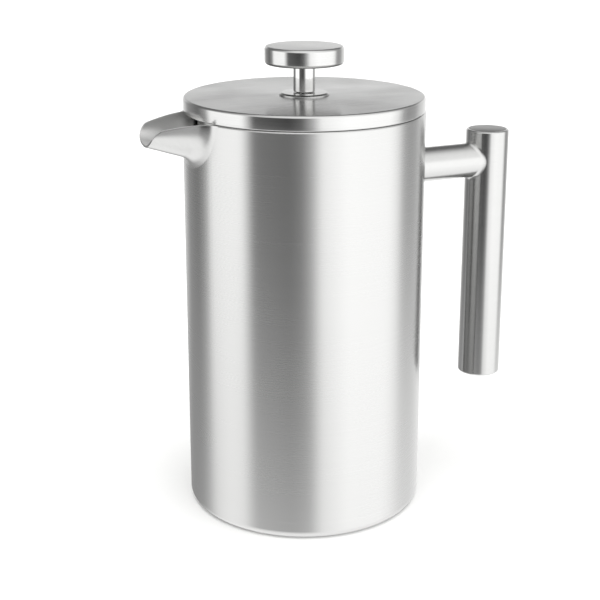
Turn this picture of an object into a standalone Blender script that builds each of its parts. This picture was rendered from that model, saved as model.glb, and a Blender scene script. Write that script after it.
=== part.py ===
"""A double-walled stainless steel french press of one litre, modelled as the pieces it is made of.

Metres, +Z up. The origin is the middle of the base, on the table. The spout points to -X and the
handle to +X. The plunger is pressed down: its neck stands on the lid's guide collar.
"""

import math

import bpy

MM = 0.001

# Driving dimensions of the vessel.
OUTER_RADIUS = 53.5 * MM
RIM_HEIGHT = 181.3 * MM
WALL = 0.6 * MM
AIR_GAP = 4.3 * MM
LINER_FLOOR = 8.0 * MM
BASE_EDGE = 3.5 * MM
BASE_PLATE_RADIUS = 46.6 * MM

# Clearance between pieces that rest on each other, and between pieces that slide.
GAP = 0.3 * MM

# Driving dimensions of the handle: an upright bar held by one level arm.
BAR_X = 94.6 * MM
BAR_RADIUS = 10.0 * MM
BAR_BOTTOM = 44.0 * MM
BAR_TOP = 165.3 * MM
BAR_WALL = 1.2 * MM
CAP_THICKNESS = 0.9 * MM
ARM_HEIGHT = 151.0 * MM
ARM_RADIUS = 8.0 * MM

# Driving dimensions of the spout, an open gutter that narrows to its lip.
SPOUT_ROOT_X = -53.5 * MM
SPOUT_LIP_X = -73.7 * MM
SPOUT_NOSE = 4.7 * MM
SPOUT_ROOT_HALF_WIDTH = 16.7 * MM
SPOUT_LIP_HALF_WIDTH = 9.7 * MM
SPOUT_ROOT_KEEL = 163.7 * MM
SPOUT_LIP_KEEL = 170.4 * MM
SPOUT_LIP_DROP = 3.2 * MM
SPOUT_WALL = 0.9 * MM
SPOUT_INNER_X = -43.0 * MM
SPOUT_ROUND_STEPS = 16
SPOUT_NOSE_STEPS = 6
# The nose's last section stops just short of its tip, so that it still has a width.
SPOUT_NOSE_PART = 0.985

# Driving dimensions of the lid.
LID_TOP = 187.8 * MM
LID_RADIUS = 53.2 * MM
LID_EDGE = 1.3 * MM
PAN_FLOOR = 172.4 * MM
SKIRT_RADIUS = 47.3 * MM

# Driving dimensions of the guide that the rod slides in.
COLLAR_RADIUS = 11.0 * MM
COLLAR_THICKNESS = 0.9 * MM
STEM_RADIUS = 5.0 * MM
STEM_BOTTOM = 168.6 * MM
BUSH_RADIUS = 3.6 * MM

# Driving dimensions of the knob and the plunger.
KNOB_RADIUS = 17.45 * MM
KNOB_BOTTOM = 201.4 * MM
KNOB_TOP = 209.3 * MM
KNOB_EDGE = 1.3 * MM
NECK_RADIUS = 4.85 * MM
ROD_RADIUS = 2.5 * MM
ROD_BOTTOM = 20.4 * MM
FILTER_FLOOR = 25.6 * MM
SPRING_RING_RADIUS = 44.9 * MM
SPRING_COIL_RADIUS = 2.0 * MM
MESH_RADIUS = 47.5 * MM

LARGE_SEGMENTS = 48
PLATE_SEGMENTS = 40
MEDIUM_SEGMENTS = 32
SMALL_SEGMENTS = 20
CORNER_STEPS = 3
SCREW_MERGE = 0.01 * MM
# How far a hole's cutter reaches past the sheet on each side.
CUT_REACH = 5 * MM
HEX_SIDES = 6

INNER_RADIUS = OUTER_RADIUS - AIR_GAP - 2 * WALL
COLLAR_BOTTOM = LID_TOP + GAP
COLLAR_TOP = COLLAR_BOTTOM + COLLAR_THICKNESS
BORE_RADIUS = ROD_RADIUS + GAP


def clear_scene():
    for obj in list(bpy.data.objects):
        bpy.data.objects.remove(obj)


def new_collection(name):
    collection = bpy.data.collections.new(name)
    bpy.context.scene.collection.children.link(collection)
    return collection


def new_material(name, colour, roughness, metallic=1.0):
    material = bpy.data.materials.new(name)
    material.use_nodes = True
    shader = material.node_tree.nodes["Principled BSDF"]
    shader.inputs["Base Color"].default_value = (*colour, 1.0)
    shader.inputs["Roughness"].default_value = roughness
    shader.inputs["Metallic"].default_value = metallic
    return material


# Helpers for outlines and turned shapes.


def rounded(corners, steps=CORNER_STEPS):
    """A polyline of (radius, height) points, from corners (radius, height, fillet)."""
    points = []
    for i, (x, z, fillet) in enumerate(corners):
        if fillet == 0 or i in (0, len(corners) - 1):
            points.append((x, z))
            continue
        before, after = corners[i - 1], corners[i + 1]
        a = (before[0] - x, before[1] - z)
        b = (after[0] - x, after[1] - z)
        la, lb = math.hypot(*a), math.hypot(*b)
        a, b = (a[0] / la, a[1] / la), (b[0] / lb, b[1] / lb)
        half = math.acos(max(-1.0, min(1.0, a[0] * b[0] + a[1] * b[1]))) / 2
        reach = fillet / math.tan(half)
        to_centre = fillet / math.sin(half)
        along = (a[0] + b[0], a[1] + b[1])
        length = math.hypot(*along)
        centre = (x + along[0] / length * to_centre, z + along[1] / length * to_centre)
        start = (x + a[0] * reach - centre[0], z + a[1] * reach - centre[1])
        end = (x + b[0] * reach - centre[0], z + b[1] * reach - centre[1])
        first = math.atan2(start[1], start[0])
        turn = math.atan2(end[1], end[0]) - first
        turn = (turn + math.pi) % (2 * math.pi) - math.pi
        for step in range(steps + 1):
            angle = first + turn * step / steps
            points.append((centre[0] + fillet * math.cos(angle), centre[1] + fillet * math.sin(angle)))
    return points


def add_object(name, mesh, material, collection):
    obj = bpy.data.objects.new(name, mesh)
    collection.objects.link(obj)
    if material:
        mesh.materials.append(material)
    return obj


def turned(name, outline, segments, material, closed, x=0.0):
    """An outline in (radius, height) turned round an upright axis at x, with a Screw modifier."""
    mesh = bpy.data.meshes.new(name)
    edges = [(i, i + 1) for i in range(len(outline) - 1)]
    if closed:
        edges.append((len(outline) - 1, 0))
    mesh.from_pydata([(r, 0.0, z) for r, z in outline], edges, [])
    obj = add_object(name, mesh, material, parts)
    obj.location.x = x
    screw = obj.modifiers.new("turn", "SCREW")
    screw.axis = "Z"
    screw.steps = segments
    screw.render_steps = segments
    screw.use_merge_vertices = True
    screw.merge_threshold = SCREW_MERGE
    screw.use_smooth_shade = True
    return obj


def turned_shell(name, outline, segments, material, thickness=WALL):
    """A sheet piece: the outline is one side of the sheet, and Solidify gives it its thickness."""
    obj = turned(name, outline, segments, material, closed=False)
    solidify = obj.modifiers.new("sheet", "SOLIDIFY")
    solidify.thickness = thickness
    solidify.offset = -1.0
    solidify.use_even_offset = True
    return obj


def ring(name, inner, outer, low, high, segments, material, fillet=0.0):
    """A turned ring of rectangular section, with its two outer edges rounded."""
    corners = [
        (inner, high, 0),
        (outer, high, fillet),
        (outer, low, fillet),
        (inner, low, 0),
    ]
    return turned(name, rounded(corners), segments, material, closed=True)


def disc(name, radius, low, high, segments, material, fillet=0.0, x=0.0):
    """A turned solid disc with its two edges rounded."""
    corners = [(0.0, high, 0), (radius, high, fillet), (radius, low, fillet), (0.0, low, 0)]
    return turned(name, rounded(corners), segments, material, closed=False, x=x)


# Helpers for cutters and Booleans.


def move_to(obj, collection):
    for other in list(obj.users_collection):
        other.objects.unlink(obj)
    collection.objects.link(obj)


def as_cutter(obj):
    move_to(obj, cutters)
    obj.hide_render = True
    obj.display_type = "WIRE"
    return obj


def cylinder(name, radius, depth, location, rotation=(0.0, 0.0, 0.0), vertices=SMALL_SEGMENTS):
    bpy.ops.mesh.primitive_cylinder_add(
        vertices=vertices, radius=radius, depth=depth, location=location, rotation=rotation
    )
    obj = bpy.context.object
    obj.name = name
    move_to(obj, parts)
    return obj


def boolean(obj, other, operation="DIFFERENCE"):
    modifier = obj.modifiers.new(operation.lower(), "BOOLEAN")
    modifier.operation = operation
    modifier.solver = "EXACT"
    modifier.object = other
    return obj


def cut_holes(obj, name, centres, radius, low, high, vertices=16):
    """Upright round holes through a plate, each from its own cutter."""
    for i, (x, y) in enumerate(centres):
        middle = (x, y, (low + high) / 2)
        cutter = cylinder(f"{name}_{i + 1}", radius, high - low, middle, vertices=vertices)
        boolean(obj, as_cutter(cutter))


def on_circle(radius, count, turn=0.0):
    angles = [turn + 2 * math.pi * i / count for i in range(count)]
    return [(radius * math.cos(a), radius * math.sin(a)) for a in angles]


# The spout's shape, as rules along x.


def along_spout(x):
    """0 where the spout leaves the vessel and 1 at its lip."""
    return (SPOUT_ROOT_X - x) / (SPOUT_ROOT_X - SPOUT_LIP_X)


def spout_section(x):
    """(half width, height of the keel, height of the edges) of the gutter's outside at x."""
    s = along_spout(x)
    half_width = SPOUT_ROOT_HALF_WIDTH + (SPOUT_LIP_HALF_WIDTH - SPOUT_ROOT_HALF_WIDTH) * s
    keel = SPOUT_ROOT_KEEL + (SPOUT_LIP_KEEL - SPOUT_ROOT_KEEL) * s
    edge = RIM_HEIGHT - SPOUT_LIP_DROP * max(0.0, s) ** 1.5
    return half_width, keel, edge


def spout_opening(x):
    """How far up each side the gutter reaches at x, in radians: a quarter turn, less at the nose."""
    nose_start = SPOUT_LIP_X + SPOUT_NOSE
    if x >= nose_start:
        return math.pi / 2
    into_nose = min(1.0, (nose_start - x) / SPOUT_NOSE)
    return math.acos(max(0.0, 1.0 - math.sqrt(max(0.0, 1.0 - into_nose**2))))



def spout_stations():
    """The places along x of the gutter's sections, closer together at the nose."""
    nose_start = SPOUT_LIP_X + SPOUT_NOSE
    count = SPOUT_NOSE_STEPS
    straight = [SPOUT_INNER_X + (nose_start - SPOUT_INNER_X) * i / count for i in range(count)]
    nose_length = SPOUT_NOSE * SPOUT_NOSE_PART
    turns = [math.pi / 2 * i / count for i in range(count + 1)]
    return straight + [nose_start - nose_length * math.sin(turn) for turn in turns]


def make_spout(material):
    """The gutter, lofted between unlike U sections. Its inner end is trimmed to the liner's wall."""
    rows = []
    for x in spout_stations():
        half_width, keel, edge = spout_section(x)
        reach = spout_opening(x)
        row = []
        for i in range(SPOUT_ROUND_STEPS + 1):
            angle = reach * (2 * i / SPOUT_ROUND_STEPS - 1)
            row.append((x, half_width * math.sin(angle), edge - (edge - keel) * math.cos(angle)))
        rows.append(row)
    points = [p for row in rows for p in row]
    width = SPOUT_ROUND_STEPS + 1
    faces = [
        (r * width + i, r * width + i + 1, (r + 1) * width + i + 1, (r + 1) * width + i)
        for r in range(len(rows) - 1)
        for i in range(SPOUT_ROUND_STEPS)
    ]
    mesh = bpy.data.meshes.new("spout")
    mesh.from_pydata(points, [], faces)
    obj = add_object("spout", mesh, material, parts)
    solidify = obj.modifiers.new("sheet", "SOLIDIFY")
    solidify.thickness = SPOUT_WALL
    solidify.offset = 1.0
    solidify.use_even_offset = True
    bore_middle = (0.0, 0.0, RIM_HEIGHT)
    trim = cylinder(
        "spout_trim", INNER_RADIUS + GAP / 2, 2 * RIM_HEIGHT, bore_middle, vertices=2 * LARGE_SEGMENTS
    )
    boolean(obj, as_cutter(trim))
    return obj


def spout_notch():
    """The space that both walls leave for the gutter: its outside grown by the gap, open at the top."""
    stations = (SPOUT_ROOT_X - 6 * MM, SPOUT_INNER_X)
    above = RIM_HEIGHT + 10 * MM
    rows = []
    for x in stations:
        half_width, keel, edge = spout_section(x)
        half_width, depth = half_width + GAP, edge - keel + GAP
        row = [(x, -half_width, above)]
        for i in range(SPOUT_ROUND_STEPS + 1):
            angle = math.pi / 2 * (2 * i / SPOUT_ROUND_STEPS - 1)
            row.append((x, half_width * math.sin(angle), edge - depth * math.cos(angle)))
        row.append((x, half_width, above))
        rows.append(row)
    width = len(rows[0])
    points = rows[0] + rows[1]
    sides = [(i, (i + 1) % width, (i + 1) % width + width, i + width) for i in range(width)]
    ends = [tuple(reversed(range(width))), tuple(range(width, 2 * width))]
    mesh = bpy.data.meshes.new("spout_notch")
    mesh.from_pydata(points, [], sides + ends)
    obj = add_object("spout_notch", mesh, None, cutters)
    return as_cutter(obj)


# The vessel.


def make_outer_shell(material):
    shoulder = RIM_HEIGHT - WALL - GAP
    corners = [
        (OUTER_RADIUS, shoulder, 0),
        (OUTER_RADIUS, 0.0, BASE_EDGE),
        (BASE_PLATE_RADIUS + GAP, 0.0, 0),
    ]
    return turned_shell("outer_shell", rounded(corners), LARGE_SEGMENTS, material)


def make_inner_liner(material):
    """The drawn cup inside. Its flange lies over the outer shell's edge and closes the air gap."""
    corners = [
        (0.0, LINER_FLOOR, 0),
        (INNER_RADIUS, LINER_FLOOR, 6 * MM),
        (INNER_RADIUS, RIM_HEIGHT, 1.0 * MM),
        (OUTER_RADIUS - 0.2 * MM, RIM_HEIGHT, 0),
    ]
    return turned_shell("inner_liner", rounded(corners), LARGE_SEGMENTS, material)


def make_base_plate(material):
    return disc("base_plate", BASE_PLATE_RADIUS, 0.0, 0.9 * MM, LARGE_SEGMENTS, material)


def make_handle_bar(material):
    """The grip tube. Its two ends are closed by the caps."""
    top, bottom, segments = BAR_TOP - CAP_THICKNESS, BAR_BOTTOM + CAP_THICKNESS, MEDIUM_SEGMENTS
    return [
        tube_at_bar("handle_bar", bottom + GAP, top - GAP, material),
        disc("handle_top_cap", BAR_RADIUS, top, BAR_TOP, segments, material, x=BAR_X),
        disc("handle_bottom_cap", BAR_RADIUS, BAR_BOTTOM, bottom, segments, material, x=BAR_X),
    ]


def tube_at_bar(name, low, high, material):
    corners = [
        (BAR_RADIUS - BAR_WALL, high),
        (BAR_RADIUS, high),
        (BAR_RADIUS, low),
        (BAR_RADIUS - BAR_WALL, low),
    ]
    return turned(name, corners, MEDIUM_SEGMENTS, material, closed=True, x=BAR_X)


def make_handle_arm(material):
    """The level tube from the vessel to the bar, with saddle ends that fit the two round walls."""
    level = (0.0, math.pi / 2, 0.0)
    length = BAR_X - OUTER_RADIUS + 2 * MM
    middle = ((BAR_X + OUTER_RADIUS) / 2, 0.0, ARM_HEIGHT)
    arm = cylinder("handle_arm", ARM_RADIUS, length, middle, level, MEDIUM_SEGMENTS)
    arm.data.materials.append(material)
    bore = cylinder(
        "arm_bore", ARM_RADIUS - BAR_WALL, 2 * length, middle, level, MEDIUM_SEGMENTS
    )
    boolean(arm, as_cutter(bore))
    upright = 4 * ARM_RADIUS
    vessel_middle = (0.0, 0.0, ARM_HEIGHT)
    wall = cylinder(
        "arm_vessel_saddle", OUTER_RADIUS + GAP, upright, vessel_middle, vertices=2 * LARGE_SEGMENTS
    )
    boolean(arm, as_cutter(wall))
    bar = cylinder(
        "arm_bar_saddle", BAR_RADIUS + GAP, upright, (BAR_X, 0.0, ARM_HEIGHT), vertices=LARGE_SEGMENTS
    )
    boolean(arm, as_cutter(bar))
    return arm


# The lid and the guide.


def make_lid_cap(material):
    corners = [
        (STEM_RADIUS + GAP, LID_TOP, 0),
        (LID_RADIUS, LID_TOP, LID_EDGE),
        (LID_RADIUS, RIM_HEIGHT + GAP, 0),
    ]
    return turned_shell("lid_cap", rounded(corners), LARGE_SEGMENTS, material)


def make_lid_pan(material):
    """The lid's underside: a flange on the rim, a skirt in the mouth and a floor round the guide."""
    flange_low = RIM_HEIGHT + GAP
    flange_radius = LID_RADIUS - WALL - GAP
    corners = [
        (flange_radius, flange_low, 0),
        (SKIRT_RADIUS, flange_low, 0.4 * MM),
        (SKIRT_RADIUS, PAN_FLOOR, 2.5 * MM),
        (STEM_RADIUS + GAP, PAN_FLOOR, 0),
    ]
    return turned_shell("lid_pan", rounded(corners), LARGE_SEGMENTS, material)


def make_guide_collar(material):
    """The flanged sleeve that the rod runs through. Its stem holds the lid's two sheets together."""
    bore = BUSH_RADIUS + GAP
    corners = [
        (bore, COLLAR_TOP, 0),
        (COLLAR_RADIUS, COLLAR_TOP, 0.5 * MM),
        (COLLAR_RADIUS, COLLAR_BOTTOM, 0),
        (STEM_RADIUS, COLLAR_BOTTOM, 0),
        (STEM_RADIUS, STEM_BOTTOM, 0),
        (bore, STEM_BOTTOM, 0),
    ]
    return turned("guide_collar", rounded(corners), MEDIUM_SEGMENTS, material, closed=True)


def make_guide_bush(material):
    high = COLLAR_TOP - 0.1 * MM
    return ring("guide_bush", BORE_RADIUS, BUSH_RADIUS, STEM_BOTTOM, high, SMALL_SEGMENTS, material)


def hex_nut(name, across_flats, bore, low, high, material):
    """A plain hexagon nut with its bore left unthreaded."""
    corner_radius = across_flats / 2 / math.cos(math.pi / HEX_SIDES)
    nut = cylinder(name, corner_radius, high - low, (0.0, 0.0, (low + high) / 2), vertices=HEX_SIDES)
    nut.data.materials.append(material)
    hole = cylinder(f"{name}_bore", bore, 4 * (high - low), (0.0, 0.0, (low + high) / 2))
    return boolean(nut, as_cutter(hole))


def make_guide_nut(material):
    """The thin nut on the collar's stem that clamps the pan from below."""
    low, high = STEM_BOTTOM + 0.1 * MM, PAN_FLOOR - GAP
    return hex_nut("guide_nut", 15 * MM, STEM_RADIUS + GAP, low, high, material)


# The knob and the plunger.


def make_knob(steel):
    """A drawn cap closed by a base plate, on a neck that the rod screws into."""
    cap_corners = [
        (0.0, KNOB_TOP, 0),
        (KNOB_RADIUS, KNOB_TOP, KNOB_EDGE),
        (KNOB_RADIUS, KNOB_BOTTOM, KNOB_EDGE),
        (KNOB_RADIUS - 2.2 * MM, KNOB_BOTTOM, 0),
    ]
    cap = turned_shell("knob_cap", rounded(cap_corners), MEDIUM_SEGMENTS, steel)
    base_radius = KNOB_RADIUS - 2.2 * MM - GAP
    base_high = KNOB_BOTTOM + 0.9 * MM
    base = ring("knob_base", NECK_RADIUS + GAP, base_radius, KNOB_BOTTOM, base_high, MEDIUM_SEGMENTS, steel)
    neck_low = COLLAR_TOP + GAP
    neck = ring("knob_neck", BORE_RADIUS, NECK_RADIUS, neck_low, base_high, SMALL_SEGMENTS, steel, 0.3 * MM)
    insert_high = KNOB_TOP - WALL - 1.2 * MM
    insert = hex_nut("knob_insert", 11 * MM, BORE_RADIUS, base_high + GAP, insert_high, steel)
    return [cap, base, neck, insert]


def make_rod(material):
    rod_top = KNOB_TOP - WALL - 1.5 * MM
    return disc("plunger_rod", ROD_RADIUS, ROD_BOTTOM, rod_top, SMALL_SEGMENTS, material, 0.4 * MM)


def make_cross_plate(material):
    """The plate under the mesh: a disc with a turned-down edge and one ring of drain holes."""
    low, edge_radius = FILTER_FLOOR, 45.0 * MM
    corners = [
        (BORE_RADIUS, low, 0),
        (edge_radius, low, 1.2 * MM),
        (edge_radius, low - 2.0 * MM, 0),
    ]
    plate = turned_shell("cross_plate", rounded(corners), PLATE_SEGMENTS, material)
    holes = on_circle(24 * MM, 8)
    cut_holes(plate, "cross_plate_hole", holes, 6.5 * MM, low - CUT_REACH, low + CUT_REACH)
    return plate


def make_mesh_screen(material):
    """The woven screen, as a plain dish of its outer shape. Its edge turns up outside the spring."""
    low = FILTER_FLOOR + GAP
    corners = [
        (MESH_RADIUS, low + 4.6 * MM, 0),
        (MESH_RADIUS, low, 1.4 * MM),
        (BORE_RADIUS, low, 0),
    ]
    return turned_shell("mesh_screen", rounded(corners), PLATE_SEGMENTS, material, thickness=0.35 * MM)


def spring_plate_levels():
    """(height of the plate's flat ring, height of its raised middle), on its lower side."""
    flat = FILTER_FLOOR + 0.35 * MM + 2 * GAP
    return flat, flat + 3.6 * MM


def make_spring_plate(material):
    """The plate above the mesh: raised in the middle, with small holes and a lip inside the spring."""
    flat, raised = spring_plate_levels()
    lip_radius = SPRING_RING_RADIUS - SPRING_COIL_RADIUS - GAP
    corners = [
        (lip_radius, flat + 3.2 * MM, 0),
        (lip_radius, flat, 1.0 * MM),
        (30 * MM, flat, 2.0 * MM),
        (14 * MM, raised, 2.0 * MM),
        (BORE_RADIUS, raised, 0),
    ]
    plate = turned_shell("spring_plate", rounded(corners, steps=1), PLATE_SEGMENTS, material)
    holes = on_circle(35.5 * MM, 12, math.pi / 12)
    cut_holes(
        plate, "spring_plate_hole", holes, 2.2 * MM, flat - CUT_REACH, flat + CUT_REACH, vertices=8
    )
    return plate


def make_rim_spring(material):
    """The coil spring round the plate, as the closed ring that its turns fill."""
    flat, _ = spring_plate_levels()
    height = flat + SPRING_COIL_RADIUS
    bpy.ops.mesh.primitive_torus_add(
        major_radius=SPRING_RING_RADIUS,
        minor_radius=SPRING_COIL_RADIUS,
        major_segments=PLATE_SEGMENTS,
        minor_segments=10,
        location=(0.0, 0.0, height),
    )
    obj = bpy.context.object
    obj.name = "rim_spring"
    move_to(obj, parts)
    obj.data.materials.append(material)
    return obj


def make_hub(material):
    """The washer and nut above the filter, and the threaded hub below that clamps it."""
    _, raised = spring_plate_levels()
    washer_low = raised + WALL + GAP
    washer_high = washer_low + 0.8 * MM
    hub_high = FILTER_FLOOR - WALL - GAP
    return [
        ring("hub_washer", BORE_RADIUS, 8 * MM, washer_low, washer_high, MEDIUM_SEGMENTS, material),
        hex_nut("stop_nut", 9 * MM, BORE_RADIUS, washer_high + GAP, washer_high + GAP + 4 * MM, material),
        ring("filter_hub", BORE_RADIUS, 7 * MM, ROD_BOTTOM, hub_high, MEDIUM_SEGMENTS, material, 0.5 * MM),
    ]


clear_scene()
parts = new_collection("french_press")
cutters = new_collection("cutters")

brushed_steel = new_material("brushed_steel", (0.72, 0.72, 0.71), 0.32)
polished_steel = new_material("polished_steel", (0.80, 0.80, 0.79), 0.12)
mesh_steel = new_material("mesh_steel", (0.62, 0.62, 0.61), 0.40)
white_ptfe = new_material("white_ptfe", (0.88, 0.88, 0.86), 0.45, 0.0)

notch = spout_notch()
outer_shell = make_outer_shell(brushed_steel)
inner_liner = make_inner_liner(brushed_steel)
boolean(outer_shell, notch)
boolean(inner_liner, notch)
make_base_plate(brushed_steel)
make_spout(brushed_steel)
make_handle_bar(brushed_steel)
make_handle_arm(brushed_steel)

make_lid_cap(brushed_steel)
make_lid_pan(brushed_steel)
make_guide_collar(polished_steel)
make_guide_bush(white_ptfe)
make_guide_nut(polished_steel)

make_knob(brushed_steel)
make_rod(polished_steel)
make_cross_plate(polished_steel)
make_mesh_screen(mesh_steel)
make_spring_plate(polished_steel)
make_rim_spring(polished_steel)
make_hub(polished_steel)
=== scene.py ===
# %% [markdown]
# # A double-walled steel french press
#
# This lesson dresses a working model of a one-litre french press. The press is almost all stainless
# steel sheet: a spun outer wall and a drawn liner welded at the rim, a gutter spout and a bar handle
# welded on, a flat lid, and a plunger with a knob above and a sprung mesh filter below. The working
# model gives every place and size. What is made here is the surface: fine turned meshes, welds with
# soft fillets, the woven screen, the coil spring, and the brushed and polished finishes.

# %% Load the working model
import math

import bmesh
import bpy
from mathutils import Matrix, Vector


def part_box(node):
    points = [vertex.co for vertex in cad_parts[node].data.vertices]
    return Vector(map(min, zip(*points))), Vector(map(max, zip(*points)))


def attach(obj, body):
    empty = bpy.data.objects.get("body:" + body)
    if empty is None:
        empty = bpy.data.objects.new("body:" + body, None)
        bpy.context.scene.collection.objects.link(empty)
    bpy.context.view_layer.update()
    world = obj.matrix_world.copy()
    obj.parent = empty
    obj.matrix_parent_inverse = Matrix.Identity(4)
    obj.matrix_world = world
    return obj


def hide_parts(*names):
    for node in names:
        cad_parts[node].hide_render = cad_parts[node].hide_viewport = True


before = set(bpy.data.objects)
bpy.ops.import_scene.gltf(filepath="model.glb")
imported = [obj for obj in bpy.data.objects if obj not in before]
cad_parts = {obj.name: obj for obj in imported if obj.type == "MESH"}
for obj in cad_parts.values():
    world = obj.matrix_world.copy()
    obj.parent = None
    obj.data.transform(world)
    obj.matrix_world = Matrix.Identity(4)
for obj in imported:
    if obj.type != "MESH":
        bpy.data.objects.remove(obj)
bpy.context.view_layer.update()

MM = 0.001

# %% [markdown]
# ## Sizes
#
# The main sizes are read from the boxes of the model's nodes, so the looks can't drift away from it.
# Only the small ones that a box can't tell, such as a fillet, are written down, in millimetres.

# %% Sizes from the model
SHEET = 0.6 * MM
LINER_RADIUS = 48.0 * MM
BODY_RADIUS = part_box("outer_shell")[1].y
RIM_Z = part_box("inner_liner")[1].z
LINER_FLOOR_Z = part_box("inner_liner")[0].z + SHEET
LIP_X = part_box("spout")[0].x
BAR_LOW, BAR_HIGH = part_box("handle_bar")
BAR_RADIUS = (BAR_HIGH.y - BAR_LOW.y) / 2
BAR_X = (BAR_HIGH.x + BAR_LOW.x) / 2
BAR_TOP_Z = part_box("handle_top_cap")[1].z
BAR_BOTTOM_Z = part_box("handle_bottom_cap")[0].z
ARM_LOW, ARM_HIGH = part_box("handle_arm")
ARM_RADIUS = (ARM_HIGH.z - ARM_LOW.z) / 2
ARM_Z = (ARM_HIGH.z + ARM_LOW.z) / 2
LID_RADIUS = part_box("lid_cap")[1].y
LID_TOP_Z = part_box("lid_cap")[1].z
print(f"body {2000 * BODY_RADIUS:.1f} mm across, {1000 * LID_TOP_Z:.1f} mm to the lid's top")

# %% [markdown]
# ## Outlines
#
# A spun or turned piece is one outline swept round an axis. The outline is written as a few corners
# with a fillet each, because that is how a drawing gives it, and a function turns each fillet into an
# arc. A sheet's outline is one face of the sheet, and the other face is found by stepping sideways.

# %% Outlines
ARC_STEPS = 8


def fillets(corners, steps=ARC_STEPS):
    """Points (radius, height) along corners (radius, height, fillet), each rounded by its fillet."""
    points = []
    for i, (r, z, fillet) in enumerate(corners):
        here = Vector((r, z))
        if not fillet or i in (0, len(corners) - 1):
            points.append(here)
            continue
        back = (Vector(corners[i - 1][:2]) - here).normalized()
        ahead = (Vector(corners[i + 1][:2]) - here).normalized()
        half = back.angle(ahead) / 2
        centre = here + (back + ahead).normalized() * fillet / math.sin(half)
        start = here + back * fillet / math.tan(half) - centre
        sweep = start.angle_signed(here + ahead * fillet / math.tan(half) - centre)
        for step in range(steps + 1):
            angle = -sweep * step / steps
            c, s = math.cos(angle), math.sin(angle)
            points.append(centre + Vector((c * start.x - s * start.y, s * start.x + c * start.y)))
    return points


def sheet_outline(path, thickness):
    """The closed outline of a sheet: path is one face, and the other lies thickness to its left."""
    other = []
    for i, point in enumerate(path):
        along = (path[min(i + 1, len(path) - 1)] - path[max(i - 1, 0)]).normalized()
        other.append(point + Vector((-along.y, along.x)) * thickness)
    return path + other[::-1]


print("points in a rounded corner:", len(fillets([(0, 0, 0), (1, 0, 0.1), (1, 1, 0)])) - 2)

# %% [markdown]
# ## Meshes from rows of points
#
# Nearly every piece here is a skin over rows of points: rings round an axis for what is turned, and
# lines along a gutter or a tube for what is welded on. So one function makes a ring and one fills the
# faces between rows. Faces are then turned outwards, and edges sharper than a soft bend are kept sharp.

# %% Rings, skins and finished meshes
AXIS_TOLERANCE = 1e-7
MERGE_DISTANCE = 1e-8
SHARP_ANGLE = math.radians(38)


def ring(bm, z, radii, x=0.0):
    """Vertices at height z round the upright axis at x, one for each radius."""
    angles = [2 * math.pi * i / len(radii) for i in range(len(radii))]
    return [bm.verts.new((x + r * math.cos(a), r * math.sin(a), z)) for r, a in zip(radii, angles)]


def skin(bm, rows, closed=False, loop=False):
    """Fills faces between rows. closed joins the two ends of each row, loop the last row to the first."""
    for row, following in zip(rows, rows[1:] + rows[:1] if loop else rows[1:]):
        if closed:
            row, following = row + row[:1], following + following[:1]
        for quad in zip(row, row[1:], following[1:], following):
            corners = [v for k, v in enumerate(quad) if v is not quad[k - 1]]
            if len(corners) > 2:
                bm.faces.new(corners)


def finish_mesh(name, bm, materials, slot_of=None):
    """Turns a closed bmesh into an object at the origin, with its faces pointing out and shaded."""
    bmesh.ops.remove_doubles(bm, verts=bm.verts, dist=MERGE_DISTANCE)
    bmesh.ops.recalc_face_normals(bm, faces=bm.faces)
    if slot_of:
        for face in bm.faces:
            face.material_index = slot_of(face.calc_center_median(), face.normal)
    mesh = bpy.data.meshes.new(name)
    bm.to_mesh(mesh)
    bm.free()
    for material in materials:
        mesh.materials.append(material)
    mesh.shade_smooth()
    mesh.set_sharp_from_angle(angle=SHARP_ANGLE)
    obj = bpy.data.objects.new(name, mesh)
    bpy.context.scene.collection.objects.link(obj)
    print(name, "has", len(mesh.polygons), "faces")
    return obj


def turned(name, corners, materials, segments=128, x=0.0, sheet=0.0, steps=ARC_STEPS, slot_of=None):
    """Sweeps corners round the upright axis at x, closed as they are or as a sheet of that thickness."""
    outline = fillets(corners, steps)
    if sheet:
        outline = sheet_outline(outline, sheet)
    bm = bmesh.new()
    rows = []
    for r, z in outline:
        pole = r < AXIS_TOLERANCE
        rows.append(ring(bm, z, [r], x) * segments if pole else ring(bm, z, [r] * segments, x))
    skin(bm, rows, closed=True, loop=True)
    return finish_mesh(name, bm, materials, slot_of)


def settle(obj):
    """Gives an object its modifiers' result as a plain mesh."""
    depsgraph = bpy.context.evaluated_depsgraph_get()
    mesh = bpy.data.meshes.new_from_object(obj.evaluated_get(depsgraph))
    obj.modifiers.clear()
    obj.data = mesh
    mesh.shade_smooth()
    mesh.set_sharp_from_angle(angle=SHARP_ANGLE)
    return obj


print("an edge stays sharp from", round(math.degrees(SHARP_ANGLE)), "degrees")

# %% [markdown]
# ## Nodes
#
# One function adds any node, sets its fields, and links or fills its inputs. Materials, the world and
# the geometry trees all use it. Colours are written as sRGB hex and turned to linear light once.

# %% Nodes and colours
MATH = "ShaderNodeMath"
VECTOR_MATH = "ShaderNodeVectorMath"
SPLIT = "ShaderNodeSeparateXYZ"
COMBINE = "ShaderNodeCombineXYZ"
NOISE = "ShaderNodeTexNoise"
MIX = "ShaderNodeMix"
# The colour version of the Mix node keeps its own A, B and Result after those of the other types.
MIX_A, MIX_B, MIX_RESULT = 6, 7, 2


def add(tree, kind, inputs=None, **settings):
    """Adds a node and gives back its outputs. A list of sockets fills an input that takes several."""
    made = tree.nodes.new(kind)
    for key, value in settings.items():
        setattr(made, key, value)
    for key, value in (inputs or {}).items():
        for source in value if isinstance(value, list) else [value]:
            if isinstance(source, bpy.types.NodeSocket):
                tree.links.new(source, made.inputs[key])
            else:
                made.inputs[key].default_value = source
    return made.outputs


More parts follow.
